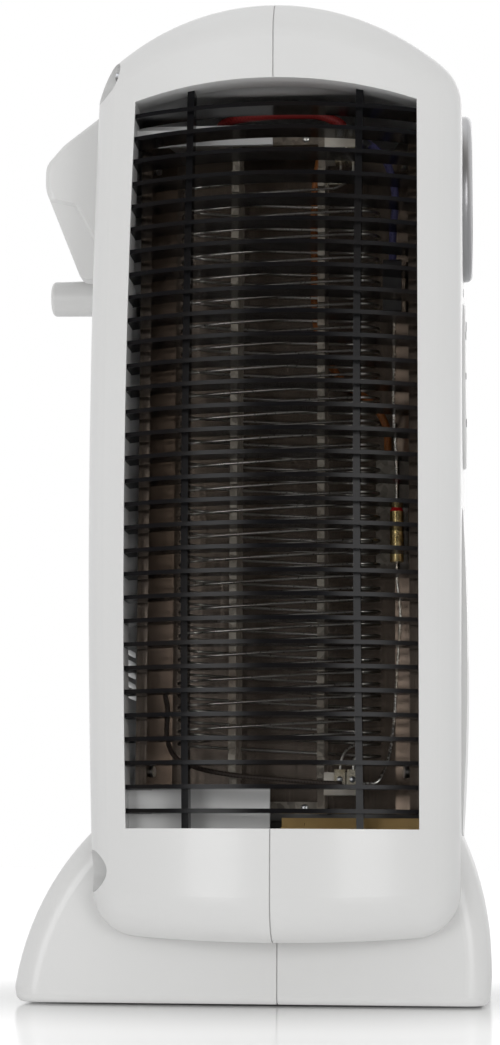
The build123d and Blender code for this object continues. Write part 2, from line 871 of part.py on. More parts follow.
# Shell screws in the four rear recesses
with BuildPart() as shell_screws:
    for floor, z in ((upper_recess_floor, upper_screw_z), (lower_recess_floor, lower_screw_z)):
        for sign in (-1, 1):
            slotted_head(-floor, sign * screw_y, z, screw_head_height)
            pin(-floor, screw_bite - 1, sign * screw_y, z, screw_shank)
shell_screws.part.label = "shell_screws"
export_step(shell_screws.part, "parts/shell_screws.step")

# Screws that hold the handle and the peg from inside the rear shell
handle_screw_seat = rear_reach - wall - rear_seat_drop
with BuildPart() as handle_screws:
    for y, z in (
        (handle_half_width - strut_width / 2, handle_screw_z),
        (-handle_half_width + strut_width / 2, handle_screw_z),
        (0, peg_z),
    ):
        pin(-handle_screw_seat, -handle_screw_seat + screw_head_height, y, z, screw_head)
        pin(handle_foot_x + 1, -handle_screw_seat, y, z, screw_shank)
handle_screws.part.label = "handle_screws"
export_step(handle_screws.part, "parts/handle_screws.step")

# Base plate with inlet slots, standing feet and plate screws
with BuildPart() as base_plate:
    outline = base_plan(wall + base_draft + plate_clearance).moved(Location((0, 0, plate_bottom)))
    extrude(outline, amount=plate_thickness)
    with BuildSketch(level(plate_bottom)):
        with GridLocations(0, plate_slot_pitch, 1, plate_slot_count):
            SlotOverall(plate_slot_length, plate_slot_width)
        for sign in (-1, 1):
            with Locations([(x, sign * foot_y) for x in foot_x]):
                Circle(foot_peg + screw_clearance)
            with Locations([(x, sign * post_y) for x in post_x]):
                Circle(screw_shank + screw_clearance)
    extrude(amount=plate_thickness, mode=Mode.SUBTRACT)
base_plate.part.label = "base_plate"
export_step(base_plate.part, "parts/base_plate.step")

with BuildPart() as rubber_feet:
    for x in foot_x:
        for sign in (-1, 1):
            post(x, sign * foot_y, 0, plate_bottom, foot_radius)
    chamfer(rubber_feet.faces().group_by(Axis.Z)[0].edges(), foot_chamfer)
    for x in foot_x:
        for sign in (-1, 1):
            post(x, sign * foot_y, plate_bottom, plate_top, foot_peg)
rubber_feet.part.label = "rubber_feet"
export_step(rubber_feet.part, "parts/rubber_feet.step")

with BuildPart() as base_screws:
    for x in post_x:
        for sign in (-1, 1):
            post(x, sign * post_y, plate_bottom - screw_head_height, plate_bottom, screw_head)
            post(x, sign * post_y, plate_bottom, post_top - 2 * wall, screw_shank)
base_screws.part.label = "base_screws"
export_step(base_screws.part, "parts/base_screws.step")

# Air deck: closes the middle and leaves two D-shaped outlets under the elements
with BuildPart() as air_deck:
    with BuildSketch(level(deck_z)):
        RectangleRounded(2 * base_front, 2 * deck_half_width, deck_corner)
    extrude(amount=deck_thickness)
    add(body_block(wall + deck_clearance), mode=Mode.INTERSECT)
    with BuildSketch(level(deck_z)):
        Circle(deck_hole_radius)
        Rectangle(2 * deck_hole_radius, 2 * bridge_half_width, mode=Mode.SUBTRACT)
        with Locations((-deck_hole_radius / 2, 0)):
            Circle(deck_lead_hole)
    extrude(amount=deck_thickness, mode=Mode.SUBTRACT)
air_deck.part.label = "air_deck"
export_step(air_deck.part, "parts/air_deck.step")

# Fan shroud: ring under the deck, with four arms that carry the motor
arm_bottom = stator_bottom + stator_thickness + bracket_thickness
with BuildPart() as fan_shroud:
    with BuildSketch(level(arm_bottom)):
        Circle(shroud_radius + shroud_wall)
        Circle(shroud_radius, mode=Mode.SUBTRACT)
    extrude(amount=deck_z - arm_bottom)
    with BuildSketch(level(arm_bottom)):
        Circle(arm_hub_radius)
        with PolarLocations(0, 2, start_angle=45, angular_range=180):
            Rectangle(2 * shroud_radius + shroud_wall, arm_width)
        Circle(arm_bore, mode=Mode.SUBTRACT)
        with Locations((0, motor_screw_y), (0, -motor_screw_y)):
            Circle(motor_screw_radius + screw_clearance, mode=Mode.SUBTRACT)
    extrude(amount=arm_thickness)
fan_shroud.part.label = "fan_shroud"
export_step(fan_shroud.part, "parts/fan_shroud.step")

# Motor: laminated frame, coil round its front leg, two bearing brackets, rotor and screws
stator_top = stator_bottom + stator_thickness
with BuildPart() as motor_stator:
    slab(-stator_rear, stator_front, -stator_half_width, stator_half_width, stator_bottom, stator_top)
    slab(stator_window[0], stator_window[1], -stator_window_half, stator_window_half,
         stator_bottom, stator_top, mode=Mode.SUBTRACT)
    post(0, 0, stator_bottom, stator_top, rotor_radius + rotor_gap, mode=Mode.SUBTRACT)
    for sign in (-1, 1):
        post(0, sign * motor_screw_y, stator_bottom, stator_top, motor_screw_radius + screw_clearance,
             mode=Mode.SUBTRACT)
motor_stator.part.label = "motor_stator"
export_step(motor_stator.part, "parts/motor_stator.step")

with BuildPart() as motor_coil:
    slab(stator_window[1] - coil_wall, stator_front + coil_wall, -stator_window_half + coil_clearance,
         stator_window_half - coil_clearance, stator_bottom - coil_wall, stator_top + coil_wall)
    fillet(motor_coil.edges().filter_by(Axis.Y), coil_wall / 2)
    slab(stator_window[1] - coil_clearance, stator_front + coil_clearance, -stator_half_width,
         stator_half_width, stator_bottom - coil_clearance, stator_top + coil_clearance,
         mode=Mode.SUBTRACT)
motor_coil.part.label = "motor_coil"
export_step(motor_coil.part, "parts/motor_coil.step")


def bearing_bracket(name, z, bearing_z):
    """Bracket strap across the motor with its bearing boss."""
    with BuildPart() as bracket:
        with BuildSketch(level(z)):
            SlotOverall(2 * bracket_half_length, 2 * bracket_half_width, rotation=90)
        extrude(amount=bracket_thickness)
        post(0, 0, bearing_z, bearing_z + bearing_height, bearing_radius)
        post(0, 0, min(z, bearing_z), max(z, bearing_z) + bearing_height, shaft_radius + shaft_clearance,
             mode=Mode.SUBTRACT)
        for sign in (-1, 1):
            post(0, sign * motor_screw_y, z, z + bracket_thickness, motor_screw_radius + screw_clearance,
                 mode=Mode.SUBTRACT)
    bracket.part.label = name
    export_step(bracket.part, f"parts/{name}.step")


bearing_bracket("motor_bracket_upper", stator_top, stator_top + bracket_thickness)
bearing_bracket("motor_bracket_lower", stator_bottom - bracket_thickness,
                stator_bottom - bracket_thickness - bearing_height)
shaft_bottom = stator_bottom - bracket_thickness - bearing_height
shaft_top = fan_top - hub_wall

with BuildPart() as motor_screws:
    for sign in (-1, 1):
        screw_bottom = stator_bottom - bracket_thickness
        post(0, sign * motor_screw_y, screw_bottom, arm_bottom + arm_thickness, motor_screw_radius)
        post(0, sign * motor_screw_y, arm_bottom + arm_thickness, arm_bottom + arm_thickness + nut_height,
             nut_radius)
        with BuildSketch(level(screw_bottom)):
            with Locations((0, sign * motor_screw_y)):
                RegularPolygon(nut_radius, 6)
        extrude(amount=-nut_height)
motor_screws.part.label = "motor_screws"
export_step(motor_screws.part, "parts/motor_screws.step")

with BuildPart() as motor_rotor:
    post(0, 0, stator_bottom + rotor_end_gap, stator_top - rotor_end_gap, rotor_radius)
    post(0, 0, shaft_bottom, shaft_top, shaft_radius)
motor_rotor.part.label = "motor_rotor"
export_step(motor_rotor.part, "parts/motor_rotor.step")


def blade_section(radius, chord, pitch):
    """Cross-section of a blade at a radius."""
    middle = (fan_bottom + fan_top) / 2
    with BuildSketch(Plane(origin=(seam_x + radius, 0, middle), x_dir=(0, 1, 0), z_dir=(1, 0, 0))) as section:
        RectangleRounded(chord, blade_thickness, blade_thickness / 3, rotation=pitch)
    return section.sketch


# Fan: cup-shaped hub with twisted blades on the rotor shaft
with BuildPart() as fan_impeller:
    loft([blade_section(hub_radius - hub_wall / 2, blade_root_chord, blade_root_pitch),
          blade_section(blade_tip, blade_tip_chord, blade_tip_pitch)])
    blade = fan_impeller.part
    for i in range(1, blade_count):
        add(blade.rotate(Axis((seam_x, 0, 0), (0, 0, 1)), 360 / blade_count * i))
    with BuildSketch(level(fan_bottom)):
        Circle(blade_tip)
    extrude(amount=fan_top - fan_bottom, mode=Mode.INTERSECT)
    post(0, 0, fan_bottom, fan_top, hub_radius)
    fillet(fan_impeller.faces().sort_by(Axis.Z)[-1].edges(), hub_wall)
    post(0, 0, fan_bottom, fan_top - hub_wall, hub_radius - hub_wall, mode=Mode.SUBTRACT)
    post(0, 0, fan_bottom, fan_top - hub_wall, shaft_radius + hub_wall)
    post(0, 0, fan_bottom, fan_top - hub_wall, shaft_radius + shaft_clearance, mode=Mode.SUBTRACT)
fan_impeller.part.label = "fan_impeller"
export_step(fan_impeller.part, "parts/fan_impeller.step")


def save_pair(shape, name):
    """Write a left-hand piece and its mirrored right-hand twin."""
    for part, hand in ((shape, "left"), (mirrored(shape), "right")):
        part.label = f"{name}_{hand}"
        export_step(part, f"parts/{name}_{hand}.step")


# Reflectors: folded sheets behind the elements, and the screws on their flanks
with BuildPart() as reflector:
    with BuildSketch(level(deck_top)):
        with BuildLine():
            Polyline(
                (-reflector_lip_x, -reflector_flank_y),
                (-reflector_flank_x, -reflector_flank_y),
                (-reflector_back_x, -reflector_back_y),
                (reflector_back_x, -reflector_back_y),
                (reflector_flank_x, -reflector_flank_y),
                (reflector_lip_x, -reflector_flank_y),
            )
        trace(line_width=reflector_sheet)
    extrude(amount=reflector_top - deck_top)
save_pair(reflector.part, "reflector")

flank = Vector(reflector_flank_x - reflector_back_x, reflector_back_y - reflector_flank_y)
flank_share = (element_y - reflector_back_y) / (reflector_flank_y - reflector_back_y)
with BuildPart() as reflector_screws:
    for sign in (-1, 1):
        inward = Vector(sign * flank.Y, -flank.X).normalized()
        seat = Vector(sign * (reflector_back_x + flank.X * flank_share), -element_y)
        seat += inward * (reflector_sheet / 2)
        for z in reflector_screw_levels:
            with BuildSketch(Plane(origin=(seam_x + seat.X, seat.Y, z), z_dir=(inward.X, inward.Y, 0))):
                Circle(reflector_screw_radius)
            extrude(amount=reflector_screw_height)
    mirror(about=Plane.XZ)
reflector_screws.part.label = "reflector_screws"
export_step(reflector_screws.part, "parts/reflector_screws.step")

# Winding geometry: bowed near and far runs joined by half turns
half_bow = wire_half_depth - wire_turn_radius
turn_centre = wire_half_length - wire_turn_radius
run_radius = (turn_centre**2 + wire_half_depth**2 - wire_turn_radius**2) / (2 * half_bow)
run_angle = asin(turn_centre / (run_radius - wire_turn_radius))
run_length = 2 * run_radius * run_angle
loop_length = 2 * run_length + 2 * wire_turn_radius * (pi - 2 * run_angle)
corner_x = run_radius * sin(run_angle)
corner_y = wire_half_depth - run_radius * (1 - cos(run_angle))
climb = wire_pitch / loop_length


def run_offset(x):
    """Distance of a run from the middle of the winding."""
    return wire_half_depth - run_radius * (1 - cos(asin(x / run_radius)))


def near_height(x, loop, start_z):
    """Height of the near run of a loop."""
    travelled = run_radius * (asin(x / run_radius) + run_angle)
    return start_z + climb * (travelled - run_length) + wire_pitch * loop


def far_height(x, loop, start_z):
    """Height of the far run of a loop."""
    travelled = loop_length / 2 + run_radius * (run_angle - asin(x / run_radius))
    return start_z + climb * (travelled - run_length) + wire_pitch * loop


def arc_middle(start, direction, end):
    """Middle point of the arc that leaves the start in a direction and reaches the end."""
    chord = end - start
    along = chord.normalized()
    cosine = max(-1.0, min(1.0, direction.dot(along)))
    bulge = (direction - along * cosine).normalized()
    half_turn = sqrt((1 - cosine) / (1 + cosine))
    return start + chord * 0.5 + bulge * (chord.length / 2 * half_turn)


def biarc(start, start_direction, end, end_direction):
    """Two arcs that run smoothly from one point and direction to another."""
    span = end - start
    sum_direction = start_direction + end_direction
    a = 2 * (start_direction.dot(end_direction) - 1)
    b = -2 * span.dot(sum_direction)
    reach = (-b - sqrt(b**2 - 4 * a * span.dot(span))) / (2 * a)
    joint = (start + end + (start_direction - end_direction) * reach) * 0.5
    ThreePointArc(start, arc_middle(start, start_direction, joint), joint)
    ThreePointArc(joint, arc_middle(end, end_direction * -1, joint), end)


def heading(x, y):
    """Direction of the climbing wire in plan."""
    return Vector(x, y, climb).normalized()


def wire_stations(start_z):
    """Corner points of the loops, from the first half turn to the last near run."""
    run_cos = cos(run_angle)
    run_sin = sin(run_angle)
    stations = []
    for loop in range(wire_loops):
        right_near = near_height(corner_x, loop, start_z)
        right_far = far_height(corner_x, loop, start_z)
        left_far = far_height(-corner_x, loop, start_z)
        left_near = near_height(-corner_x, loop + 1, start_z)
        stations += [
            (Vector(seam_x + corner_x, -element_y - corner_y, right_near), heading(run_cos, run_sin)),
            (Vector(seam_x + corner_x, -element_y + corner_y, right_far), heading(-run_cos, run_sin)),
            (Vector(seam_x - corner_x, -element_y + corner_y, left_far), heading(-run_cos, -run_sin)),
            (Vector(seam_x - corner_x, -element_y - corner_y, left_near), heading(run_cos, -run_sin)),
        ]
    return stations


def heating_wire(start_z, lug_first, lug_last):
    """One winding, from its lower lug up the boards to its upper lug."""
    upward = Vector(0, 0, 1)
    end_y = -element_y - block_offset
    lower_lug = Vector(seam_x + lug_first, end_y, lower_block_top + lug_thickness)
    upper_lug = Vector(seam_x + lug_last, end_y, upper_block_bottom - lug_thickness)
    tail = upward * wire_tail
    leave_x = board_x + board_thickness
    leave_y = -element_y - run_offset(leave_x)
    leave = Vector(seam_x + leave_x, leave_y, near_height(leave_x, wire_loops, start_z))
    leave_heading = heading(cos(leave_x / run_radius), sin(leave_x / run_radius))
    stations = [(lower_lug + tail, upward)] + wire_stations(start_z)
    stations += [(leave, leave_heading), (upper_lug - tail, upward)]
    with BuildPart() as wire:
        with BuildLine() as path:
            Line(lower_lug, lower_lug + tail)
            for (point, direction), (next_point, next_direction) in zip(stations, stations[1:]):
                biarc(point, direction, next_point, next_direction)
            Line(upper_lug - tail, upper_lug)
        winding = path.wires()[0]
        with BuildSketch(Plane(origin=winding @ 0, z_dir=upward)):
            Circle(wire_radius)
        sweep(path=winding)
    print("winding volume", round(wire.part.volume, 2), "section times length",
          round(pi * wire_radius**2 * winding.length, 2))
    print("least gap of the winding to itself", round(least_gap(path.edges()), 2))
    return wire.part


def least_gap(edges):
    """Smallest clear distance between two loops of a winding, measured on points."""
    steps = 4
    points = [tuple(edge @ (i / steps)) for edge in edges for i in range(steps)]
    skip = 6 * steps
    gaps = [
        dist(points[i], points[j])
        for i in range(len(points))
        for j in range(i + skip, len(points))
        if abs(points[i][2] - points[j][2]) < 2 * wire_pitch
    ]
    return min(gaps) - 2 * wire_radius


winding_starts = (wire_first_z, wire_first_z + wire_pitch / 2)
wire_a = heating_wire(winding_starts[0], lug_x[1], lug_x[1])
save_pair(wire_a, "heating_wire_a")
wire_b = heating_wire(winding_starts[1], lug_x[0], lug_x[0])
save_pair(wire_b, "heating_wire_b")

# Element boards: two notched mica boards joined by bars, standing on the air deck
with BuildPart() as element_boards:
    for x in (-board_x, board_x):
        notch_depth = board_half_depth - run_offset(board_x) + wire_radius + wire_notch_clearance
        notch_height = 2 * (wire_radius + wire_notch_clearance)
        near_levels = [near_height(x, n, z) for z in winding_starts for n in range(wire_loops + 1)]
        far_levels = [far_height(x, n, z) for z in winding_starts for n in range(wire_loops)]
        with BuildSketch(cross(x - board_thickness / 2)):
            with Locations((-element_y, (board_notched_bottom + board_notched_top) / 2)):
                Rectangle(2 * board_half_depth, board_notched_top - board_notched_bottom)
            with Locations((-element_y, (deck_top + board_top) / 2)):
                Rectangle(2 * (board_half_depth - board_foot_inset), board_top - deck_top)
            with Locations([(-element_y - board_half_depth + notch_depth / 2, z) for z in near_levels]):
                Rectangle(notch_depth, notch_height, mode=Mode.SUBTRACT)
            with Locations([(-element_y + board_half_depth - notch_depth / 2, z) for z in far_levels]):
                Rectangle(notch_depth, notch_height, mode=Mode.SUBTRACT)
        extrude(amount=board_thickness)
    for z in (deck_top, board_top - board_bar_height):
        slab(-board_x, board_x, -element_y - board_bar_depth / 2, -element_y + board_bar_depth / 2,
             z, z + board_bar_height)
save_pair(element_boards.part, "element_boards")

# Ceramic terminal blocks on the front board, and their lugs
block_start = board_x + board_thickness / 2
block_y = -element_y - block_offset
with BuildPart() as terminal_blocks:
    for bottom, top in ((lower_block_bottom, lower_block_top), (upper_block_bottom, upper_block_top)):
        slab(block_start, block_start + block_length, block_y - block_half_depth,
             block_y + block_half_depth, bottom, top)
    chamfer(terminal_blocks.edges().filter_by(Axis.Z).group_by(Axis.X)[-1], block_chamfer)
save_pair(terminal_blocks.part, "terminal_blocks")

with BuildPart() as terminal_lugs:
    for x in lug_x:
        for z0, z1, tab in (
            (lower_block_top, lower_block_top + lug_thickness, -lug_tab),
            (upper_block_bottom - lug_thickness, upper_block_bottom, lug_tab),
        ):
            slab(x - lug_size / 2, x + lug_size / 2, block_y - block_half_depth - lug_thickness,
                 block_y + block_half_depth / 2, z0, z1)
            edge_z = z0 if tab < 0 else z1
            slab(x - lug_size / 2, x + lug_size / 2, block_y - block_half_depth - lug_thickness,
                 block_y - block_half_depth, min(edge_z, edge_z + tab), max(edge_z, edge_z + tab))
save_pair(terminal_lugs.part, "terminal_lugs")

# Steel liners that stand on the front half of each sill
with BuildPart() as sill_liner:
    slab(liner_gap + sill_wall_gap, opening_front - liner_gap, -shelf_y - liner_thickness, -shelf_y,
         sill_z, liner_top)
    slab(liner_gap + sill_wall_gap, opening_front - liner_gap, -shelf_y - liner_foot, -shelf_y,
         sill_z, sill_z + liner_thickness)
    add(wall_slots.part, mode=Mode.SUBTRACT)
save_pair(sill_liner.part, "sill_liner")

# Thermal cut-out on the left flank, the fuse and its mica card
with BuildPart() as thermal_cutout:
    slab(cutout_x[0], cutout_x[1], -fuse_y - cutout_half_depth, -fuse_y + cutout_half_depth,
         cutout_z[0], cutout_z[1])
    chamfer(thermal_cutout.edges().filter_by(Axis.X), cutout_half_depth / 4)
thermal_cutout.part.label = "thermal_cutout"
export_step(thermal_cutout.part, "parts/thermal_cutout.step")

with BuildPart() as thermal_fuse:
    post(fuse_x, -fuse_y, fuse_bottom, fuse_top, fuse_radius)
    with BuildSketch(level(fuse_top)):
        with Locations((fuse_x, -fuse_y)):
            Circle(fuse_radius)
    with BuildSketch(level(fuse_top + fuse_cone)):
        with Locations((fuse_x, -fuse_y)):
            Circle(bare_lead_radius)
    loft()
thermal_fuse.part.label = "thermal_fuse"
export_step(thermal_fuse.part, "parts/thermal_fuse.step")

with BuildPart() as fuse_card:
    slab(fuse_card_x[0], fuse_card_x[1], -fuse_card_y - fuse_card_thickness / 2,
         -fuse_card_y + fuse_card_thickness / 2, fuse_card_z[0], fuse_card_z[1])
fuse_card.part.label = "fuse_card"
export_step(fuse_card.part, "parts/fuse_card.step")


def route_radii(points):
    """Bend radius at each corner of a route, as large as its two runs allow."""
    radii = []
    for before, corner, after in zip(points, points[1:], points[2:]):
        first = Vector(corner) - Vector(before)
        second = Vector(after) - Vector(corner)
        half_turn = radians(first.get_angle(second)) / 2
        radii.append(bend_share * min(first.length, second.length) / tan(half_turn))
    return radii


def lead(name, points, radius):
    """Insulated or bare lead along a route of straight runs and arcs."""
    radii = route_radii(points)
    with BuildPart() as tube:
        with BuildLine(level(0)) as path:
            FilletPolyline(*points, radius=radii)
        route = path.wires()[0]
        with BuildSketch(Plane(origin=route @ 0, z_dir=route % 0)):
            Circle(radius)
        sweep(path=route)
    print(name, "bend radii", [round(r, 1) for r in radii])
    print(name, "volume", round(tube.part.volume, 1), "section times length",
          round(pi * radius**2 * route.length, 1))
    return tube.part


# Leads between the controls, the terminals, the cut-out and the fuse
control_rear = front_x(dial_z - control_height / 2) - wall - control_gap - control_depth
upper_block_centre = block_start + block_length / 2
routes = {
    "lead_red": (
        sleeve_radius,
        [
            (upper_block_centre, block_y, upper_block_top),
            (upper_block_centre, block_y, upper_block_top + 4.5),
            (12, block_y - 0.4, 257.6),
            (-2, block_y - 0.2, 257.8),
            (-14, -49, 258.2),
            (-20, -38, 259),
            (-14, -26, 260),
            (0, -13, 259.6),
            (12, 1, 256),
            (22, 7, 251),
            (30, lead_spread, 249),
            (control_rear, lead_spread, 249),
        ],
    ),
    "lead_blue": (
        lead_radius,
        [
            (33, -fuse_y, cutout_z[1]),
            (33, -fuse_y, 223),
            (34.3, -47.5, 235),
            (31, -48, 246.5),
            (22, -44.2, 253.8),
            (10, -40, 256.4),
            (4, -30, 258.6),
            (9, -18, 256.8),
            (18, -7, 249.5),
            (27, 0, 240),
            (32, 0, 238.5),
            (control_rear, 0, 238.5),
        ],
    ),
    "lead_orange": (
        lead_radius,
        [
            (control_rear, -lead_spread, 240),
            (32, -lead_spread, 240),
            (26, -10, 243),
            (20, -18, 251),
            (16, -26, 257),
            (11.5, -34, 254),
            (9.4, -33.7, 243),
            (9, -33.2, 231),
            (9.3, -33, 218),
            (9, -33, 204),
            (11, -33.2, 191),
            (18, -33.6, 181),
            (26.5, -34, 175.5),
            (31, -fuse_card_y, 168),
            (31, -fuse_card_y, fuse_card_z[1]),
        ],
    ),
    "lead_slack": (
        slack_lead_radius,
        [
            (lug_x[0], block_y - block_half_depth - lug_thickness, 62.4),
            (lug_x[0], block_y - block_half_depth - lug_thickness - 1.9, 62.4),
            (12, -60.2, 62.6),
            (1, -59.6, 63.6),
            (-10, -58.2, 64.4),
            (-21, -56.2, 66.2),
            (-29.5, -52, 69.5),
            (-32.5, -47.8, 76),
            (-32, -46.2, 84),
            (-33.4, -45.2, 89.4),
            (-36.33, -44.53, 89.4),
        ],
    ),
    "fuse_lead_upper": (
        bare_lead_radius,
        [
            (fuse_x, -fuse_y, fuse_top + fuse_cone),
            (fuse_x, -fuse_y, 155),
            (33.0, -fuse_y - 0.8, 172),
            (33.4, -fuse_y, 188),
            (33.4, -fuse_y, cutout_z[0]),
        ],
    ),
    "fuse_lead_lower": (
        bare_lead_radius,
        [
            (fuse_x, -fuse_y, fuse_bottom),
            (fuse_x, -fuse_y, 121),
            (35.2, -46.2, 112),
            (34.0, -46.4, 95),
            (33.2, -47.0, 80),
            (31.6, -49.4, 69),
            (28.6, block_y + 1.6, 62.6),
            (block_start + block_length, block_y + 1.6, 62.6),
        ],
    ),
}
for name, (radius, points) in routes.items():
    tube = lead(name, points, radius)
    tube.label = name
    export_step(tube, f"parts/{name}.step")

# Mains terminal block on the base plate, and the gland in the rear flare
with BuildPart() as mains_block:
    slab(mains_x[0], mains_x[1], -mains_half_width, mains_half_width, plate_top, plate_top + mains_height)
    chamfer(mains_block.faces().sort_by(Axis.Z)[-1].edges().filter_by(Axis.Y), wall / 2)
mains_block.part.label = "mains_block"
export_step(mains_block.part, "parts/mains_block.step")

with BuildPart() as cable_gland:
    pin(-base_rear, -gland_inner, gland_y, gland_z, gland_flange)
    add(base_block(0), mode=Mode.SUBTRACT)
    pin(-base_rear, -gland_inner, gland_y, gland_z, gland_radius)
    pin(-base_rear, -gland_inner, gland_y, gland_z, gland_bore, mode=Mode.SUBTRACT)
cable_gland.part.label = "cable_gland"
export_step(cable_gland.part, "parts/cable_gland.step")
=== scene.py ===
from math import cos, pi, radians, sin

import bmesh
import bpy
from mathutils import Matrix, Vector


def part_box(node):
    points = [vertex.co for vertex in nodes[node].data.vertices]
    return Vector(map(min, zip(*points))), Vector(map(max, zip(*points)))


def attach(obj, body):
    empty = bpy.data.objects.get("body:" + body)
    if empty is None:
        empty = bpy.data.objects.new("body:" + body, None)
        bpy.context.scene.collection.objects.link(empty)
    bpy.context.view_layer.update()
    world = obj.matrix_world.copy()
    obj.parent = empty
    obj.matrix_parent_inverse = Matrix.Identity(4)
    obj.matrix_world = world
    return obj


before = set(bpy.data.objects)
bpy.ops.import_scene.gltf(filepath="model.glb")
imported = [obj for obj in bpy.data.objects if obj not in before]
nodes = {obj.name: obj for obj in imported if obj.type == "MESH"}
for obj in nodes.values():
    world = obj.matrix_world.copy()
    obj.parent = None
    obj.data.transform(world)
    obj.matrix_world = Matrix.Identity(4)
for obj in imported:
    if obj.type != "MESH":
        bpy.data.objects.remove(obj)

scene = bpy.context.scene
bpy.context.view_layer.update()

# The viewpoint of the photograph: close to the floor at the heater's left side, a little towards
# its rear, looking slightly up. The frame is tall and narrow, as the picture is.
view_place = Vector((0.06747, -0.769, 0.0426))
view_turn, view_tilt, view_roll = radians(5.4), radians(97.5), radians(0.30)
focal_px, frame_px = 2520, 1045
lens = bpy.data.cameras.new("photograph_view")
lens.sensor_fit = "VERTICAL"
lens.sensor_height = 24
lens.lens = lens.sensor_height * focal_px / frame_px
lens.clip_start = 0.01
camera = bpy.data.objects.new("photograph_view", lens)
camera.matrix_world = (
    Matrix.Translation(view_place)
    @ Matrix.Rotation(view_turn, 4, "Z")
    @ Matrix.Rotation(view_tilt, 4, "X")
    @ Matrix.Rotation(view_roll, 4, "Z")
)
scene.collection.objects.link(camera)
scene.camera = camera
scene.view_settings.view_transform = "Standard"

# Studio: soft light mostly from the viewer's side, with a lamp at each side, one above and one on the
# far side. The room behind the viewer is dim, and that is what the polished and the black pieces
# mirror. What the camera sees behind the heater is plain white.
backdrop_white = (1, 1, 1, 1)
ambient_level, mirrored_level = 0.68, 1.0
ambient_stops = (
    (0.0, (0.15, 0.15, 0.15)),
    (0.05, (0.9, 0.9, 0.9)),
    (0.3, (1, 1, 1)),
    (0.8, (0.78, 0.785, 0.79)),
)
mirrored_stops = (
    (0.0, (0.05, 0.045, 0.04)),
    (0.12, (0.10, 0.085, 0.07)),
    (0.35, (0.5, 0.48, 0.46)),
    (0.55, (1, 1, 1)),
)
world = bpy.data.worlds.new("studio")
world.use_nodes = True
scene.world = world
sky = world.node_tree
ray_way = sky.nodes.new("ShaderNodeTexCoord")
ray_way_parts = sky.nodes.new("ShaderNodeSeparateXYZ")
room_depth = sky.nodes.new("ShaderNodeMapRange")
room_depth.inputs["From Min"].default_value = -1.0


def connect(tree, links):
    """Join the sockets of a node tree."""
    for here, there in links:
        tree.links.new(here, there)


def sky_light(level, stops):
    """Light of the room, whose grey changes from the viewer's side (0) to the far side (1)."""
    ramp = sky.nodes.new("ShaderNodeValToRGB")
    for _ in stops[2:]:
        ramp.color_ramp.elements.new(0.5)
    for element, (place, colour) in zip(ramp.color_ramp.elements, stops):
        element.position = place
        element.color = (*colour, 1)
    light = sky.nodes.new("ShaderNodeBackground")
    light.inputs["Strength"].default_value = level
    connect(sky, (
        (room_depth.outputs["Result"], ramp.inputs["Fac"]),
        (ramp.outputs["Color"], light.inputs["Color"]),
    ))
    return light.outputs[0]


ambient = sky_light(ambient_level, ambient_stops)
mirrored = sky_light(mirrored_level, mirrored_stops)
backdrop = sky.nodes.new("ShaderNodeBackground")
backdrop.inputs["Color"].default_value = backdrop_white
ray = sky.nodes.new("ShaderNodeLightPath")
by_mirror = sky.nodes.new("ShaderNodeMixShader")
plain = sky.nodes.new("ShaderNodeMath")
plain.operation = "MAXIMUM"
by_eye = sky.nodes.new("ShaderNodeMixShader")
connect(sky, (
    (ray_way.outputs["Generated"], ray_way_parts.inputs[0]),
    (ray_way_parts.outputs["Y"], room_depth.inputs["Value"]),
    (ray.outputs["Is Glossy Ray"], by_mirror.inputs["Fac"]),
    (ambient, by_mirror.inputs[1]),
    (mirrored, by_mirror.inputs[2]),
    (ray.outputs["Is Camera Ray"], plain.inputs[0]),
    (ray.outputs["Is Transmission Ray"], plain.inputs[1]),
    (plain.outputs[0], by_eye.inputs["Fac"]),
    (by_mirror.outputs[0], by_eye.inputs[1]),
    (backdrop.outputs[0], by_eye.inputs[2]),
    (by_eye.outputs[0], sky.nodes["World Output"].inputs["Surface"]),
))


def soft_lamp(name, place, aim, width, height, power):
    """Rectangular lamp with a cloth front, turned to its aim."""
    lamp = bpy.data.lights.new(name, "AREA")
    lamp.shape = "RECTANGLE"
    lamp.size = width
    lamp.size_y = height
    lamp.energy = power
    stand = bpy.data.objects.new(name, lamp)
    aim_way = Vector(aim) - Vector(place)
    stand.matrix_world = Matrix.Translation(place) @ aim_way.to_track_quat("-Z", "Y").to_matrix().to_4x4()
    scene.collection.objects.link(stand)


soft_lamp("lamp_rear_side", (-0.62, -1.30, 0.16), (0, 0, 0.13), 0.5, 0.6, 4.6)
soft_lamp("lamp_front_side", (0.72, -1.25, 0.16), (0, 0, 0.13), 0.5, 0.6, 4.4)
soft_lamp("lamp_above", (0.0, -0.1, 1.6), (0, 0, 0.2), 1.4, 1.4, 1.5)
soft_lamp("lamp_far_side", (0.2, 1.6, 0.8), (0, 0, 0.15), 1.2, 1.2, 3.0)

# Floor: a pale glossy board. It lights the heater from below as a white table does. The camera sees
# it whiten away from the heater, so that it shows no horizon and keeps a short reflection.
floor_half = 6.0
floor_grey, floor_roughness, floor_gloss = 0.86, 0.12, 0.8
glow_share, glow_on_heater, glow_seen = 0.15, 2.4, 2.2
whiter_from, whiter_to = 0.035, 0.17
floor_mesh = bpy.data.meshes.new("studio_floor")
floor_mesh.from_pydata(
    [(-floor_half, -floor_half, 0), (floor_half, -floor_half, 0),
     (floor_half, floor_half, 0), (-floor_half, floor_half, 0)],
    [], [(0, 1, 2, 3)],
)
floor = bpy.data.objects.new("studio_floor", floor_mesh)
scene.collection.objects.link(floor)
floor_finish = bpy.data.materials.new("studio_floor")
floor_finish.use_nodes = True
paint = floor_finish.node_tree
board = paint.nodes["Principled BSDF"]
board.inputs["Base Color"].default_value = (floor_grey, floor_grey, floor_grey, 1)
board.inputs["Roughness"].default_value = floor_roughness
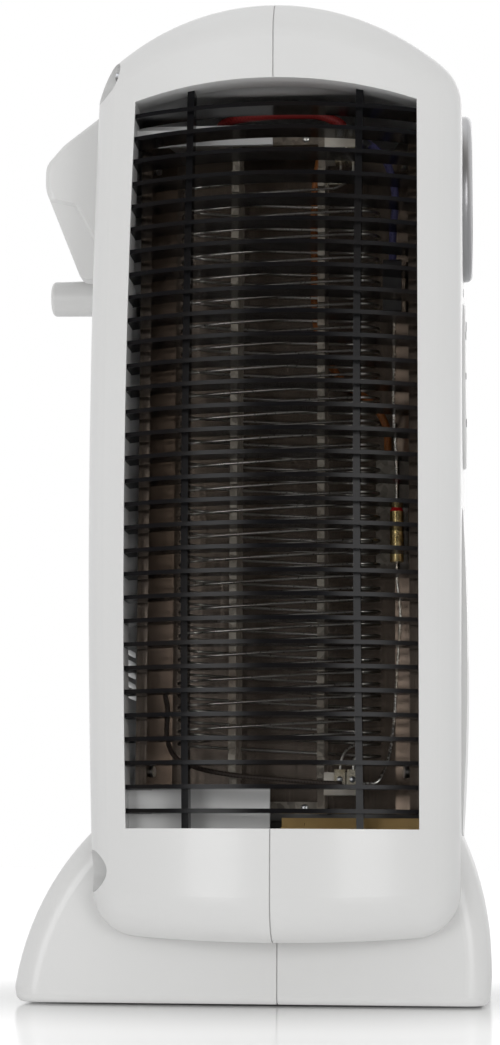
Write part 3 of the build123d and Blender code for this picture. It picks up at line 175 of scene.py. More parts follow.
board.inputs["Specular IOR Level"].default_value = floor_gloss
glow = paint.nodes.new("ShaderNodeEmission")
glow.inputs["Color"].default_value = backdrop_white
floor_ray = paint.nodes.new("ShaderNodeLightPath")
floor_spot = paint.nodes.new("ShaderNodeTexCoord")
from_heater = paint.nodes.new("ShaderNodeVectorMath")
from_heater.operation = "LENGTH"
whiter = paint.nodes.new("ShaderNodeMapRange")
whiter.interpolation_type = "SMOOTHSTEP"
whiter.inputs["From Min"].default_value = whiter_from
whiter.inputs["From Max"].default_value = whiter_to
whiter.inputs["To Max"].default_value = glow_seen
floor_seen = paint.nodes.new("ShaderNodeMath")
floor_seen.operation = "MULTIPLY"
floor_light = paint.nodes.new("ShaderNodeMath")
floor_light.operation = "MULTIPLY_ADD"
floor_light.inputs[1].default_value = glow_on_heater
lift = paint.nodes.new("ShaderNodeMixShader")
lift.inputs["Fac"].default_value = glow_share
connect(paint, (
    (floor_spot.outputs["Object"], from_heater.inputs[0]),
    (from_heater.outputs["Value"], whiter.inputs["Value"]),
    (whiter.outputs["Result"], floor_seen.inputs[0]),
    (floor_ray.outputs["Is Camera Ray"], floor_seen.inputs[1]),
    (floor_ray.outputs["Is Diffuse Ray"], floor_light.inputs[0]),
    (floor_seen.outputs[0], floor_light.inputs[2]),
    (floor_light.outputs[0], glow.inputs["Strength"]),
    (board.outputs[0], lift.inputs[1]),
    (glow.outputs[0], lift.inputs[2]),
    (lift.outputs[0], paint.nodes["Material Output"].inputs["Surface"]),
))
floor_mesh.materials.append(floor_finish)

# Base plate, rubber feet and plate screws: the plate is moulded in black plastic with inlet slots
# for the fan. The soft feet are pushed into it, and zinc-plated screws hold it to the posts above.


def surface_group(name, *sizes):
    """Shader group with named inputs that puts out a colour, a roughness and a normal."""
    group = bpy.data.node_groups.new(name, "ShaderNodeTree")
    for label, kind, value in sizes:
        socket = group.interface.new_socket(name=label, in_out="INPUT", socket_type="NodeSocket" + kind)
        socket.default_value = value
    for label, kind in (("Colour", "Color"), ("Roughness", "Float"), ("Normal", "Vector")):
        group.interface.new_socket(name=label, in_out="OUTPUT", socket_type="NodeSocket" + kind)
    return group, group.nodes.new("NodeGroupInput"), group.nodes.new("NodeGroupOutput")


def new_finish(name):
    """Empty material, with its tree and its main shader."""
    material = bpy.data.materials.new(name)
    material.use_nodes = True
    tree = material.node_tree
    return material, tree, tree.nodes["Principled BSDF"]


def finish_from(name, group, sizes):
    """Material whose colour, roughness and normal come from a surface group."""
    material, tree, shader = new_finish(name)
    skin = tree.nodes.new("ShaderNodeGroup")
    skin.node_tree = group
    for label, value in sizes.items():
        skin.inputs[label].default_value = value
    connect(tree, (
        (skin.outputs["Colour"], shader.inputs["Base Color"]),
        (skin.outputs["Roughness"], shader.inputs["Roughness"]),
        (skin.outputs["Normal"], shader.inputs["Normal"]),
    ))
    return material, shader


moulded, inside, outside = surface_group(
    "moulded_surface",
    ("Colour", "Color", (0.5, 0.5, 0.5, 1)),
    ("Clouded Colour", "Color", (0.5, 0.5, 0.5, 1)),
    ("Cloud Scale", "Float", 30.0),
    ("Roughness", "Float", 0.35),
    ("Roughness Spread", "Float", 0.08),
    ("Grain Scale", "Float", 1500.0),
    ("Grain Height", "Float", 0.00002),
)
spot = moulded.nodes.new("ShaderNodeTexCoord")
cloud = moulded.nodes.new("ShaderNodeTexNoise")
cloud.inputs["Detail"].default_value = 4
haze = moulded.nodes.new("ShaderNodeMapRange")
haze.inputs["From Min"].default_value = 0.38
haze.inputs["From Max"].default_value = 0.66
tint = moulded.nodes.new("ShaderNodeMix")
tint.data_type = "RGBA"
gloss = moulded.nodes.new("ShaderNodeTexNoise")
gloss.inputs["Scale"].default_value = 85
gloss.inputs["Detail"].default_value = 3
swing = moulded.nodes.new("ShaderNodeMath")
swing.operation = "SUBTRACT"
swing.inputs[1].default_value = 0.5
spread = moulded.nodes.new("ShaderNodeMath")
spread.operation = "MULTIPLY_ADD"
grain = moulded.nodes.new("ShaderNodeTexNoise")
grain.inputs["Detail"].default_value = 2
raised = moulded.nodes.new("ShaderNodeBump")
connect(moulded, (
    (spot.outputs["Object"], cloud.inputs["Vector"]),
    (inside.outputs["Cloud Scale"], cloud.inputs["Scale"]),
    (cloud.outputs["Fac"], haze.inputs["Value"]),
    (haze.outputs["Result"], tint.inputs[0]),
    (inside.outputs["Colour"], tint.inputs[6]),
    (inside.outputs["Clouded Colour"], tint.inputs[7]),
    (tint.outputs[2], outside.inputs["Colour"]),
    (spot.outputs["Object"], gloss.inputs["Vector"]),
    (gloss.outputs["Fac"], swing.inputs[0]),
    (swing.outputs[0], spread.inputs[0]),
    (inside.outputs["Roughness Spread"], spread.inputs[1]),
    (inside.outputs["Roughness"], spread.inputs[2]),
    (spread.outputs[0], outside.inputs["Roughness"]),
    (spot.outputs["Object"], grain.inputs["Vector"]),
    (inside.outputs["Grain Scale"], grain.inputs["Scale"]),
    (grain.outputs["Fac"], raised.inputs["Height"]),
    (inside.outputs["Grain Height"], raised.inputs["Distance"]),
    (raised.outputs["Normal"], outside.inputs["Normal"]),
))


def plastic(name, colour, clouded, cloud_scale, roughness, roughness_spread, grain_scale, grain_height,
            coat=0.0, specular=0.5):
    """Moulded plastic with a faint cloudiness and its own grain."""
    material, shader = finish_from(name, moulded, {
        "Colour": (*colour, 1),
        "Clouded Colour": (*clouded, 1),
        "Cloud Scale": cloud_scale,
        "Roughness": roughness,
        "Roughness Spread": roughness_spread,
        "Grain Scale": grain_scale,
        "Grain Height": grain_height,
    })
    shader.inputs["Specular IOR Level"].default_value = specular
    shader.inputs["Coat Weight"].default_value = coat
    shader.inputs["Coat Roughness"].default_value = 0.12
    return material


def dress(material, *names):
    """Give solids of the heater their material."""
    for name in names:
        mesh = nodes[name].data
        mesh.materials.clear()
        mesh.materials.append(material)


base_black = plastic("base_black", (0.020, 0.020, 0.021), (0.032, 0.031, 0.030), 22, 0.52, 0.16, 2600,
                     0.00003)
dress(base_black, "base_plate")
foot_rubber = plastic("foot_rubber", (0.022, 0.022, 0.022), (0.045, 0.044, 0.042), 90, 0.82, 0.12, 900,
                      0.00008, specular=0.3)
dress(foot_rubber, "rubber_feet")

metal_surface, inside, outside = surface_group(
    "metal_surface",
    ("Colour", "Color", (0.6, 0.6, 0.6, 1)),
    ("Stained Colour", "Color", (0.5, 0.5, 0.5, 1)),
    ("Stain Scale", "Float", 25.0),
    ("Stain Start", "Float", 0.45),
    ("Roughness", "Float", 0.3),
    ("Roughness Spread", "Float", 0.15),
    ("Stretch", "Vector", (1.0, 1.0, 1.0)),
    ("Line Scale", "Float", 900.0),
    ("Line Height", "Float", 0.00001),
)
spot = metal_surface.nodes.new("ShaderNodeTexCoord")
stretched = metal_surface.nodes.new("ShaderNodeVectorMath")
stretched.operation = "MULTIPLY"
stain = metal_surface.nodes.new("ShaderNodeTexNoise")
stain.inputs["Detail"].default_value = 5
reach = metal_surface.nodes.new("ShaderNodeMapRange")
reach.inputs["From Max"].default_value = 0.75
tint = metal_surface.nodes.new("ShaderNodeMix")
tint.data_type = "RGBA"
lines = metal_surface.nodes.new("ShaderNodeTexNoise")
lines.inputs["Detail"].default_value = 3
swing = metal_surface.nodes.new("ShaderNodeMath")
swing.operation = "SUBTRACT"
swing.inputs[1].default_value = 0.5
spread = metal_surface.nodes.new("ShaderNodeMath")
spread.operation = "MULTIPLY_ADD"
raised = metal_surface.nodes.new("ShaderNodeBump")
connect(metal_surface, (
    (spot.outputs["Object"], stain.inputs["Vector"]),
    (inside.outputs["Stain Scale"], stain.inputs["Scale"]),
    (stain.outputs["Fac"], reach.inputs["Value"]),
    (inside.outputs["Stain Start"], reach.inputs["From Min"]),
    (reach.outputs["Result"], tint.inputs[0]),
    (inside.outputs["Colour"], tint.inputs[6]),
    (inside.outputs["Stained Colour"], tint.inputs[7]),
    (tint.outputs[2], outside.inputs["Colour"]),
    (spot.outputs["Object"], stretched.inputs[0]),
    (inside.outputs["Stretch"], stretched.inputs[1]),
    (stretched.outputs["Vector"], lines.inputs["Vector"]),
    (inside.outputs["Line Scale"], lines.inputs["Scale"]),
    (lines.outputs["Fac"], swing.inputs[0]),
    (swing.outputs[0], spread.inputs[0]),
    (inside.outputs["Roughness Spread"], spread.inputs[1]),
    (inside.outputs["Roughness"], spread.inputs[2]),
    (spread.outputs[0], outside.inputs["Roughness"]),
    (lines.outputs["Fac"], raised.inputs["Height"]),
    (inside.outputs["Line Height"], raised.inputs["Distance"]),
    (raised.outputs["Normal"], outside.inputs["Normal"]),
))


def metal(name, colour, stained, stain_scale, roughness, roughness_spread, stretch, line_scale, line_height,
          stain_start=0.45):
    """Bare, plated or rolled metal with its drawn lines and faint stains."""
    material, shader = finish_from(name, metal_surface, {
        "Colour": (*colour, 1),
        "Stained Colour": (*stained, 1),
        "Stain Scale": stain_scale,
        "Stain Start": stain_start,
        "Roughness": roughness,
        "Roughness Spread": roughness_spread,
        "Stretch": stretch,
        "Line Scale": line_scale,
        "Line Height": line_height,
    })
    shader.inputs["Metallic"].default_value = 1.0
    return material


zinc_plate = metal("zinc_plate", (0.62, 0.64, 0.67), (0.50, 0.49, 0.44), 160, 0.30, 0.18, (1, 1, 1), 1400,
                   0.00002)
dress(zinc_plate, "base_screws")
weld_distance = 0.000001


def keep_mesh(piece, material, body):
    """Turn an evaluated piece into a plain mesh that rides on a body."""
    bpy.context.view_layer.update()
    shaped = piece.evaluated_get(bpy.context.evaluated_depsgraph_get())
    mesh = bpy.data.meshes.new_from_object(shaped)
    mesh.name = piece.name
    piece.modifiers.clear()
    mesh.transform(piece.matrix_world)
    piece.data = mesh
    piece.matrix_world = Matrix.Identity(4)
    mesh.materials.clear()
    mesh.materials.append(material)
    for polygon in mesh.polygons:
        polygon.material_index = 0
    solid = bmesh.new()
    solid.from_mesh(mesh)
    bmesh.ops.remove_doubles(solid, verts=solid.verts, dist=weld_distance)
    bmesh.ops.recalc_face_normals(solid, faces=solid.faces)
    solid.to_mesh(mesh)
    solid.free()
    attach(piece, body)


# Driver caps of the plate screws: the pressed rim of each pan head, with its cross recess. The
# caps are zinc-plated steel, as the screws are.
head_radius, cross_depth = 0.0032, 0.01


def repeat_tree(name, sizes):
    """Geometry tree with named sizes and a finish that sets one shape on every point given to it."""
    tree = bpy.data.node_groups.new(name, "GeometryNodeTree")
    tree.interface.new_socket(name="Geometry", in_out="INPUT", socket_type="NodeSocketGeometry")
    for label, value in sizes.items():
        socket = tree.interface.new_socket(name=label, in_out="INPUT", socket_type="NodeSocketFloat")
        socket.default_value = value
    tree.interface.new_socket(name="Finish", in_out="INPUT", socket_type="NodeSocketMaterial")
    tree.interface.new_socket(name="Geometry", in_out="OUTPUT", socket_type="NodeSocketGeometry")
    given = tree.nodes.new("NodeGroupInput")
    made = tree.nodes.new("NodeGroupOutput")
    scatter = tree.nodes.new("GeometryNodeInstanceOnPoints")
    real = tree.nodes.new("GeometryNodeRealizeInstances")
    coated = tree.nodes.new("GeometryNodeSetMaterial")
    connect(tree, (
        (given.outputs["Geometry"], scatter.inputs["Points"]),
        (scatter.outputs["Instances"], real.inputs["Geometry"]),
        (real.outputs["Geometry"], coated.inputs["Geometry"]),
        (given.outputs["Finish"], coated.inputs["Material"]),
        (coated.outputs["Geometry"], made.inputs["Geometry"]),
    ))
    return tree, given, scatter


cap_tree, given, scatter = repeat_tree("cross_recess_caps", {
    "Radius": 0.0030, "Height": 0.00035, "Cross Length": 0.0017, "Cross Width": 0.0005,
})
rim = cap_tree.nodes.new("GeometryNodeCurvePrimitiveCircle")
rim.inputs["Resolution"].default_value = 32
arm_a = cap_tree.nodes.new("GeometryNodeMeshCube")
size_a = cap_tree.nodes.new("ShaderNodeCombineXYZ")
size_a.inputs["Z"].default_value = cross_depth
arm_b = cap_tree.nodes.new("GeometryNodeMeshCube")
size_b = cap_tree.nodes.new("ShaderNodeCombineXYZ")
size_b.inputs["Z"].default_value = cross_depth
double = cap_tree.nodes.new("ShaderNodeMath")
double.operation = "MULTIPLY"
double.inputs[1].default_value = 2
thick = cap_tree.nodes.new("ShaderNodeMath")
thick.operation = "MULTIPLY"
thick.inputs[1].default_value = 2
filled = cap_tree.nodes.new("GeometryNodeFillCurve")
pressed = cap_tree.nodes.new("GeometryNodeExtrudeMesh")
pressed.mode = "FACES"
joined = cap_tree.nodes.new("GeometryNodeJoinGeometry")
flipped = cap_tree.nodes.new("GeometryNodeFlipFaces")
cut = cap_tree.nodes.new("GeometryNodeMeshBoolean")
cut.operation = "DIFFERENCE"
cut.solver = "EXACT"
connect(cap_tree, (
    (given.outputs["Radius"], rim.inputs["Radius"]),
    (rim.outputs["Curve"], filled.inputs["Curve"]),
    (filled.outputs["Mesh"], pressed.inputs["Mesh"]),
    (given.outputs["Height"], pressed.inputs["Offset Scale"]),
    (filled.outputs["Mesh"], flipped.inputs["Mesh"]),
    (pressed.outputs["Mesh"], joined.inputs["Geometry"]),
    (flipped.outputs["Mesh"], joined.inputs["Geometry"]),
    (given.outputs["Cross Length"], double.inputs[0]),
    (given.outputs["Cross Width"], thick.inputs[0]),
    (double.outputs[0], size_a.inputs["X"]),
    (thick.outputs[0], size_a.inputs["Y"]),
    (thick.outputs[0], size_b.inputs["X"]),
    (double.outputs[0], size_b.inputs["Y"]),
    (size_a.outputs["Vector"], arm_a.inputs["Size"]),
    (size_b.outputs["Vector"], arm_b.inputs["Size"]),
    (joined.outputs["Geometry"], cut.inputs["Mesh 1"]),
    (arm_a.outputs["Mesh"], cut.inputs["Mesh 2"]),
    (arm_b.outputs["Mesh"], cut.inputs["Mesh 2"]),
    (cut.outputs["Mesh"], scatter.inputs["Instance"]),
))


def input_key(tree, label):
    """Identifier of a named input of a geometry tree."""
    return next(item.identifier for item in tree.interface.items_tree
                if item.in_out == "INPUT" and item.name == label)


def grown(name, points, tree, settings, place=Matrix.Identity(4)):
    """A piece that a geometry tree grows on points."""
    mesh = bpy.data.meshes.new(name)
    mesh.from_pydata([tuple(point) for point in points], [], [])
    piece = bpy.data.objects.new(name, mesh)
    scene.collection.objects.link(piece)
    piece.matrix_world = place
    growth = piece.modifiers.new("growth", "NODES")
    growth.node_group = tree
    for label, value in settings.items():
        growth[input_key(tree, label)] = value
    return piece


screws_low, screws_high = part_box("base_screws")
caps_at = [
    (x, y, 0)
    for x in (screws_low.x + head_radius, screws_high.x - head_radius)
    for y in (screws_low.y + head_radius, screws_high.y - head_radius)
]
caps = grown("base_screw_caps", caps_at, cap_tree, {"Finish": zinc_plate},
             Matrix.Translation((0, 0, screws_low.z)) @ Matrix.Diagonal((1, 1, -1, 1)))
keep_mesh(caps, zinc_plate, "body")

# Motor: a shaded-pole motor under the fan. Its frame is a stack of thin steel sheets with a copper
# coil on the front leg; zinc-coated brackets carry the shaft, and two long screws clamp the stack.
stack_pitch = 0.0005
stack, tree, shader = new_finish("steel_stack")
shader.inputs["Metallic"].default_value = 0.9
spot = tree.nodes.new("ShaderNodeTexCoord")
sheets = tree.nodes.new("ShaderNodeTexWave")
sheets.wave_type = "BANDS"
sheets.bands_direction = "Z"
sheets.inputs["Scale"].default_value = pi / 10 / stack_pitch
sheets.inputs["Distortion"].default_value = 0.4
sheets.inputs["Detail"].default_value = 1
blotch = tree.nodes.new("ShaderNodeTexNoise")
blotch.inputs["Scale"].default_value = 260
shade = tree.nodes.new("ShaderNodeValToRGB")
shade.color_ramp.elements[0].color = (0.10, 0.10, 0.11, 1)
shade.color_ramp.elements[1].color = (0.42, 0.42, 0.44, 1)
dull = tree.nodes.new("ShaderNodeMapRange")
dull.inputs["To Min"].default_value = 0.35
dull.inputs["To Max"].default_value = 0.62
edges = tree.nodes.new("ShaderNodeBump")
edges.inputs["Distance"].default_value = 0.00012
connect(tree, (
    (spot.outputs["Object"], sheets.inputs["Vector"]),
    (spot.outputs["Object"], blotch.inputs["Vector"]),
    (sheets.outputs["Fac"], shade.inputs["Fac"]),
    (shade.outputs["Color"], shader.inputs["Base Color"]),
    (blotch.outputs["Fac"], dull.inputs["Value"]),
    (dull.outputs["Result"], shader.inputs["Roughness"]),
    (sheets.outputs["Fac"], edges.inputs["Height"]),
    (edges.outputs["Normal"], shader.inputs["Normal"]),
))
dress(stack, "motor_stator", "motor_rotor")
zinc_sheet = metal("zinc_sheet", (0.58, 0.58, 0.56), (0.44, 0.43, 0.40), 60, 0.36, 0.20, (1, 1, 0.2), 700,
                   0.00002)
dress(zinc_sheet, "motor_bracket_upper", "motor_bracket_lower")
dress(zinc_plate, "motor_screws")
varnished_copper = metal("varnished_copper", (0.62, 0.25, 0.10), (0.36, 0.14, 0.06), 130, 0.28, 0.2,
                         (0.1, 1, 1), 1500, 0.00004)
dress(varnished_copper, "motor_coil")

# Outer turns of the coil: enamelled copper wire, wound tightly round the bobbin, one turn beside the
# next. Each turn is a rounded rectangle round the stator leg.
turn_radius, turn_count = 0.00030, 28
turn_tree, given, scatter = repeat_tree("coil_turns", {
    "Width": 0.014, "Height": 0.019, "Corner": 0.0018, "Wire Radius": turn_radius,
})
loop = turn_tree.nodes.new("GeometryNodeCurvePrimitiveQuadrilateral")
rounded = turn_tree.nodes.new("GeometryNodeFilletCurve")
rounded.mode = "POLY"
rounded.inputs["Count"].default_value = 4
wire = turn_tree.nodes.new("GeometryNodeCurvePrimitiveCircle")
wire.inputs["Resolution"].default_value = 8
drawn = turn_tree.nodes.new("GeometryNodeCurveToMesh")
connect(turn_tree, (
    (given.outputs["Width"], loop.inputs["Width"]),
    (given.outputs["Height"], loop.inputs["Height"]),
    (loop.outputs["Curve"], rounded.inputs["Curve"]),
    (given.outputs["Corner"], rounded.inputs["Radius"]),
    (given.outputs["Wire Radius"], wire.inputs["Radius"]),
    (rounded.outputs["Curve"], drawn.inputs["Curve"]),
    (wire.outputs["Curve"], drawn.inputs["Profile Curve"]),
    (drawn.outputs["Mesh"], scatter.inputs["Instance"]),
))
coil_low, coil_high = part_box("motor_coil")
coil_size = coil_high - coil_low
coil_middle = (coil_low + coil_high) / 2
first_turn = -coil_size.y / 2 + 2 * turn_radius
turn_step = (coil_size.y - 4 * turn_radius) / (turn_count - 1)
turns = grown(
    "motor_coil_turns",
    [(0, 0, first_turn + turn_step * i) for i in range(turn_count)],
    turn_tree,
    {"Width": coil_size.x, "Height": coil_size.z, "Finish": varnished_copper},
    Matrix.Translation(coil_middle) @ Matrix.Rotation(radians(90), 4, "X"),
)
keep_mesh(turns, varnished_copper, "body")

# Fan, its shroud and the air deck: the moulded impeller sits on the motor shaft, inside a ring that
# hangs under the deck. The deck leads its air up through two D-shaped openings, one to each side.
fan_black = plastic("fan_black", (0.020, 0.020, 0.022), (0.034, 0.034, 0.035), 30, 0.34, 0.12, 1800, 0.00002)
dress(fan_black, "fan_impeller")
frame_grey = plastic("frame_grey", (0.085, 0.083, 0.080), (0.115, 0.112, 0.105), 24, 0.50, 0.14, 2200,
                     0.00003)
dress(frame_grey, "fan_shroud", "air_deck")

# Reflectors: one folded sheet of polished steel behind each element, stained brown by the heat. Its colour is
# also darkened far below bare steel as painted shade, for the dim inside of the casing. They stand on the air
# deck and are held by small screws in their flanks. The front liners are folded strips of straw-coloured
# steel in the lower edges of the side openings.
# Painted shade: the steel colour and its stain colour are both darker than the metal is, standing in for
# shade.
polished_steel = metal("polished_steel", (0.24, 0.20, 0.17), (0.15, 0.115, 0.085), 14, 0.24, 0.12,
                       (8, 8, 0.25), 120, 0.00004, stain_start=0.36)
dress(polished_steel, "reflector_left", "reflector_right")
dress(zinc_plate, "reflector_screws")
straw_steel = metal("straw_steel", (0.50, 0.35, 0.16), (0.36, 0.23, 0.09), 40, 0.30, 0.15, (1, 1, 0.2), 700,
                    0.00002)
dress(straw_steel, "sill_liner_left", "sill_liner_right")

# Element boards: two upright mica boards and two cross bars to each side, with a notch for every
# pass of wire. Pressed mica shows silvery flakes in a brown binder, scorched near the wires.
mica, tree, shader = new_finish("pressed_mica")
shader.inputs["Specular IOR Level"].default_value = 0.6
spot = tree.nodes.new("ShaderNodeTexCoord")
flakes = tree.nodes.new("ShaderNodeTexVoronoi")
flakes.inputs["Scale"].default_value = 620
flakes.inputs["Randomness"].default_value = 1
grey = tree.nodes.new("ShaderNodeSeparateColor")
flake_tint = tree.nodes.new("ShaderNodeValToRGB")
flake_tint.color_ramp.elements[0].color = (0.12, 0.10, 0.075, 1)
flake_tint.color_ramp.elements[1].color = (0.30, 0.27, 0.22, 1)
scorch = tree.nodes.new("ShaderNodeTexNoise")
scorch.inputs["Scale"].default_value = 45
scorch.inputs["Detail"].default_value = 5
burnt = tree.nodes.new("ShaderNodeMix")
burnt.data_type = "RGBA"
burnt.inputs[7].default_value = (0.13, 0.085, 0.05, 1)
scorched = tree.nodes.new("ShaderNodeMapRange")
scorched.inputs["From Min"].default_value = 0.48
scorched.inputs["From Max"].default_value = 0.72
scorched.inputs["To Max"].default_value = 0.55
sheen = tree.nodes.new("ShaderNodeMapRange")
sheen.inputs["To Min"].default_value = 0.28
sheen.inputs["To Max"].default_value = 0.55
ridge = tree.nodes.new("ShaderNodeBump")
ridge.inputs["Distance"].default_value = 0.00006
connect(tree, (
    (spot.outputs["Object"], flakes.inputs["Vector"]),
    (spot.outputs["Object"], scorch.inputs["Vector"]),
    (flakes.outputs["Color"], grey.inputs["Color"]),
    (grey.outputs["Red"], flake_tint.inputs["Fac"]),
    (scorch.outputs["Fac"], scorched.inputs["Value"]),
    (scorched.outputs["Result"], burnt.inputs[0]),
    (flake_tint.outputs["Color"], burnt.inputs[6]),
    (burnt.outputs[2], shader.inputs["Base Color"]),
    (grey.outputs["Green"], sheen.inputs["Value"]),
    (sheen.outputs["Result"], shader.inputs["Roughness"]),
    (grey.outputs["Blue"], ridge.inputs["Height"]),
    (ridge.outputs["Normal"], shader.inputs["Normal"]),
))
dress(mica, "element_boards_left", "element_boards_right", "fuse_card")

# Heating wires: two windings of bare resistance wire to each side, greyed by heat, from the lower
# lugs up to the upper ones.
resistance_wire = metal("resistance_wire", (0.54, 0.52, 0.49), (0.24, 0.21, 0.19), 70, 0.30, 0.2, (1, 1, 1),
                        1600, 0.00002)
dress(resistance_wire, "heating_wire_a_left", "heating_wire_a_right", "heating_wire_b_left",
      "heating_wire_b_right")

# Terminals: pressed ceramic blocks on the front board of each element, and plated brass lugs that
# grip the wire ends, each fixed by a small rivet.
ceramic = plastic("unglazed_ceramic", (0.66, 0.62, 0.55), (0.50, 0.45, 0.37), 120, 0.72, 0.12, 1500, 0.00006,
                  specular=0.35)
dress(ceramic, "terminal_blocks_left", "terminal_blocks_right")
plated_brass = metal("plated_brass", (0.74, 0.70, 0.58), (0.55, 0.44, 0.24), 190, 0.24, 0.16, (1, 1, 1), 1300,
                     0.00002)
dress(plated_brass, "terminal_lugs_left", "terminal_lugs_right")

# Rivet heads: a pressed dome of zinc-plated steel on every lug, and one wherever a cross bar is
# pinned to a board.
rivet_tree, given, scatter = repeat_tree("rivet_heads", {"Radius": 0.0009, "Dome": 0.5})
ball = rivet_tree.nodes.new("GeometryNodeMeshUVSphere")
ball.inputs["Segments"].default_value = 16
ball.inputs["Rings"].default_value = 8
flatten = rivet_tree.nodes.new("ShaderNodeCombineXYZ")
flatten.inputs["X"].default_value = 1
flatten.inputs["Z"].default_value = 1
connect(rivet_tree, (
    (given.outputs["Radius"], ball.inputs["Radius"]),
    (given.outputs["Dome"], flatten.inputs["Y"]),
    (ball.outputs["Mesh"], scatter.inputs["Instance"]),
    (flatten.outputs["Vector"], scatter.inputs["Scale"]),
))
lug_rise, lug_inset = 0.0016, 0.0015
pin_radius, pin_rise, pin_inset, board_front = 0.0011, 0.0018, 0.006, 0.002
for hand, outward in (("left", -1), ("right", 1)):
    lugs_low, lugs_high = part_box("terminal_lugs_" + hand)
    face_y = lugs_low.y if outward < 0 else lugs_high.y
    rivets_at = [
        (x, face_y, z)
        for x in (lugs_low.x + lug_inset, lugs_high.x - lug_inset)
        for z in (lugs_low.z + lug_rise, lugs_high.z - lug_rise)
    ]
    rivets = grown("lug_rivets_" + hand, rivets_at, rivet_tree, {"Finish": zinc_plate})
    keep_mesh(rivets, zinc_plate, "body")
    boards_low, boards_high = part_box("element_boards_" + hand)
    board_middle = (boards_low.y + boards_high.y) / 2
    pins_at = [
        (x, board_middle + outward * board_front, z)
        for x in (boards_low.x + pin_inset, boards_high.x - pin_inset)
        for z in (boards_low.z + pin_rise, boards_high.z - pin_rise)
    ]
    pins = grown("board_pins_" + hand, pins_at, rivet_tree, {"Radius": pin_radius, "Finish": zinc_plate})
    keep_mesh(pins, zinc_plate, "body")

# Spare tabs: a plated blade on the front board of each element, for a plug-on terminal, pressed
# from the same sheet as the lugs. Its nose is tapered and its root is turned against the board.
blade_length, blade_height, blade_thickness, blade_nose = 0.0072, 0.0016, 0.0008, 0.0016
root_height, blade_drop, blade_inset, edge_round = 0.0036, 0.0120, 0.0042, 0.0001
for hand, outward in (("left", -1), ("right", 1)):
    boards_low, boards_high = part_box("element_boards_" + hand)
    blocks_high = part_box("terminal_blocks_" + hand)[1]
    root_x = boards_high.x
    edge_y = boards_low.y if outward < 0 else boards_high.y
    blade_y = edge_y - outward * blade_inset
    blade_z = blocks_high.z - blade_drop
    shape = [
        (root_x, blade_z - root_height / 2),
        (root_x + blade_thickness, blade_z - root_height / 2),
        (root_x + blade_thickness, blade_z - blade_height / 2),
        (root_x + blade_length - blade_nose, blade_z - blade_height / 2),
        (root_x + blade_length, blade_z - blade_height / 6),
        (root_x + blade_length, blade_z + blade_height / 6),
        (root_x + blade_length - blade_nose, blade_z + blade_height / 2),
        (root_x + blade_thickness, blade_z + blade_height / 2),
        (root_x + blade_thickness, blade_z + root_height / 2),
        (root_x, blade_z + root_height / 2),
    ]
    solid = bmesh.new()
    face = solid.faces.new([solid.verts.new((x, blade_y - blade_thickness / 2, z)) for x, z in shape])
    pushed = bmesh.ops.extrude_face_region(solid, geom=[face])
    moved = [part for part in pushed["geom"] if isinstance(part, bmesh.types.BMVert)]
    bmesh.ops.translate(solid, vec=(0, blade_thickness, 0), verts=moved)
    bmesh.ops.bevel(solid, geom=solid.edges, offset=edge_round, segments=2, affect="EDGES")
    bmesh.ops.recalc_face_normals(solid, faces=solid.faces)
    mesh = bpy.data.meshes.new("spare_tab_" + hand)
    solid.to_mesh(mesh)
    solid.free()
    mesh.materials.append(plated_brass)
    tab = bpy.data.objects.new("spare_tab_" + hand, mesh)
    scene.collection.objects.link(tab)
    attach(tab, "body")

# Thermal cut-out and fuse: a black phenolic block on the front flank, and under it a fuse in a
# gold-coloured case, closed by red resin at its upper end.
phenolic = plastic("black_phenolic", (0.018, 0.017, 0.017), (0.034, 0.031, 0.029), 160, 0.40, 0.14, 1700,
                   0.00003)
dress(phenolic, "thermal_cutout")
fuse_case, tree, shader = new_finish("fuse_case")
spot = tree.nodes.new("ShaderNodeTexCoord")
parts = tree.nodes.new("ShaderNodeSeparateXYZ")
resin_length = 0.0036
cone_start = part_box("thermal_fuse")[1].z - resin_length
resin_end = tree.nodes.new("ShaderNodeMath")
resin_end.operation = "GREATER_THAN"
resin_end.inputs[1].default_value = cone_start
tarnish = tree.nodes.new("ShaderNodeTexNoise")
tarnish.inputs["Scale"].default_value = 420
gold = tree.nodes.new("ShaderNodeValToRGB")
gold.color_ramp.elements[0].color = (0.42, 0.30, 0.10, 1)
gold.color_ramp.elements[1].color = (0.86, 0.70, 0.38, 1)
two_tone = tree.nodes.new("ShaderNodeMix")
two_tone.data_type = "RGBA"
two_tone.inputs[7].default_value = (0.62, 0.015, 0.02, 1)
metallic = tree.nodes.new("ShaderNodeMath")
metallic.operation = "SUBTRACT"
metallic.inputs[0].default_value = 1.0
rough = tree.nodes.new("ShaderNodeMapRange")
rough.inputs["To Min"].default_value = 0.18
rough.inputs["To Max"].default_value = 0.40
connect(tree, (
    (spot.outputs["Object"], parts.inputs["Vector"]),
    (spot.outputs["Object"], tarnish.inputs["Vector"]),
    (parts.outputs["Z"], resin_end.inputs[0]),
    (tarnish.outputs["Fac"], gold.inputs["Fac"]),
    (tarnish.outputs["Fac"], rough.inputs["Value"]),
    (resin_end.outputs[0], two_tone.inputs[0]),
    (gold.outputs["Color"], two_tone.inputs[6]),
    (two_tone.outputs[2], shader.inputs["Base Color"]),
    (resin_end.outputs[0], metallic.inputs[1]),
    (metallic.outputs[0], shader.inputs["Metallic"]),
    (rough.outputs["Result"], shader.inputs["Roughness"]),
))
dress(fuse_case, "thermal_fuse")
tinned_wire = metal("tinned_wire", (0.70, 0.68, 0.64), (0.48, 0.40, 0.30), 200, 0.26, 0.15, (1, 1, 1), 1500,
                    0.00001)
dress(tinned_wire, "fuse_lead_upper", "fuse_lead_lower")

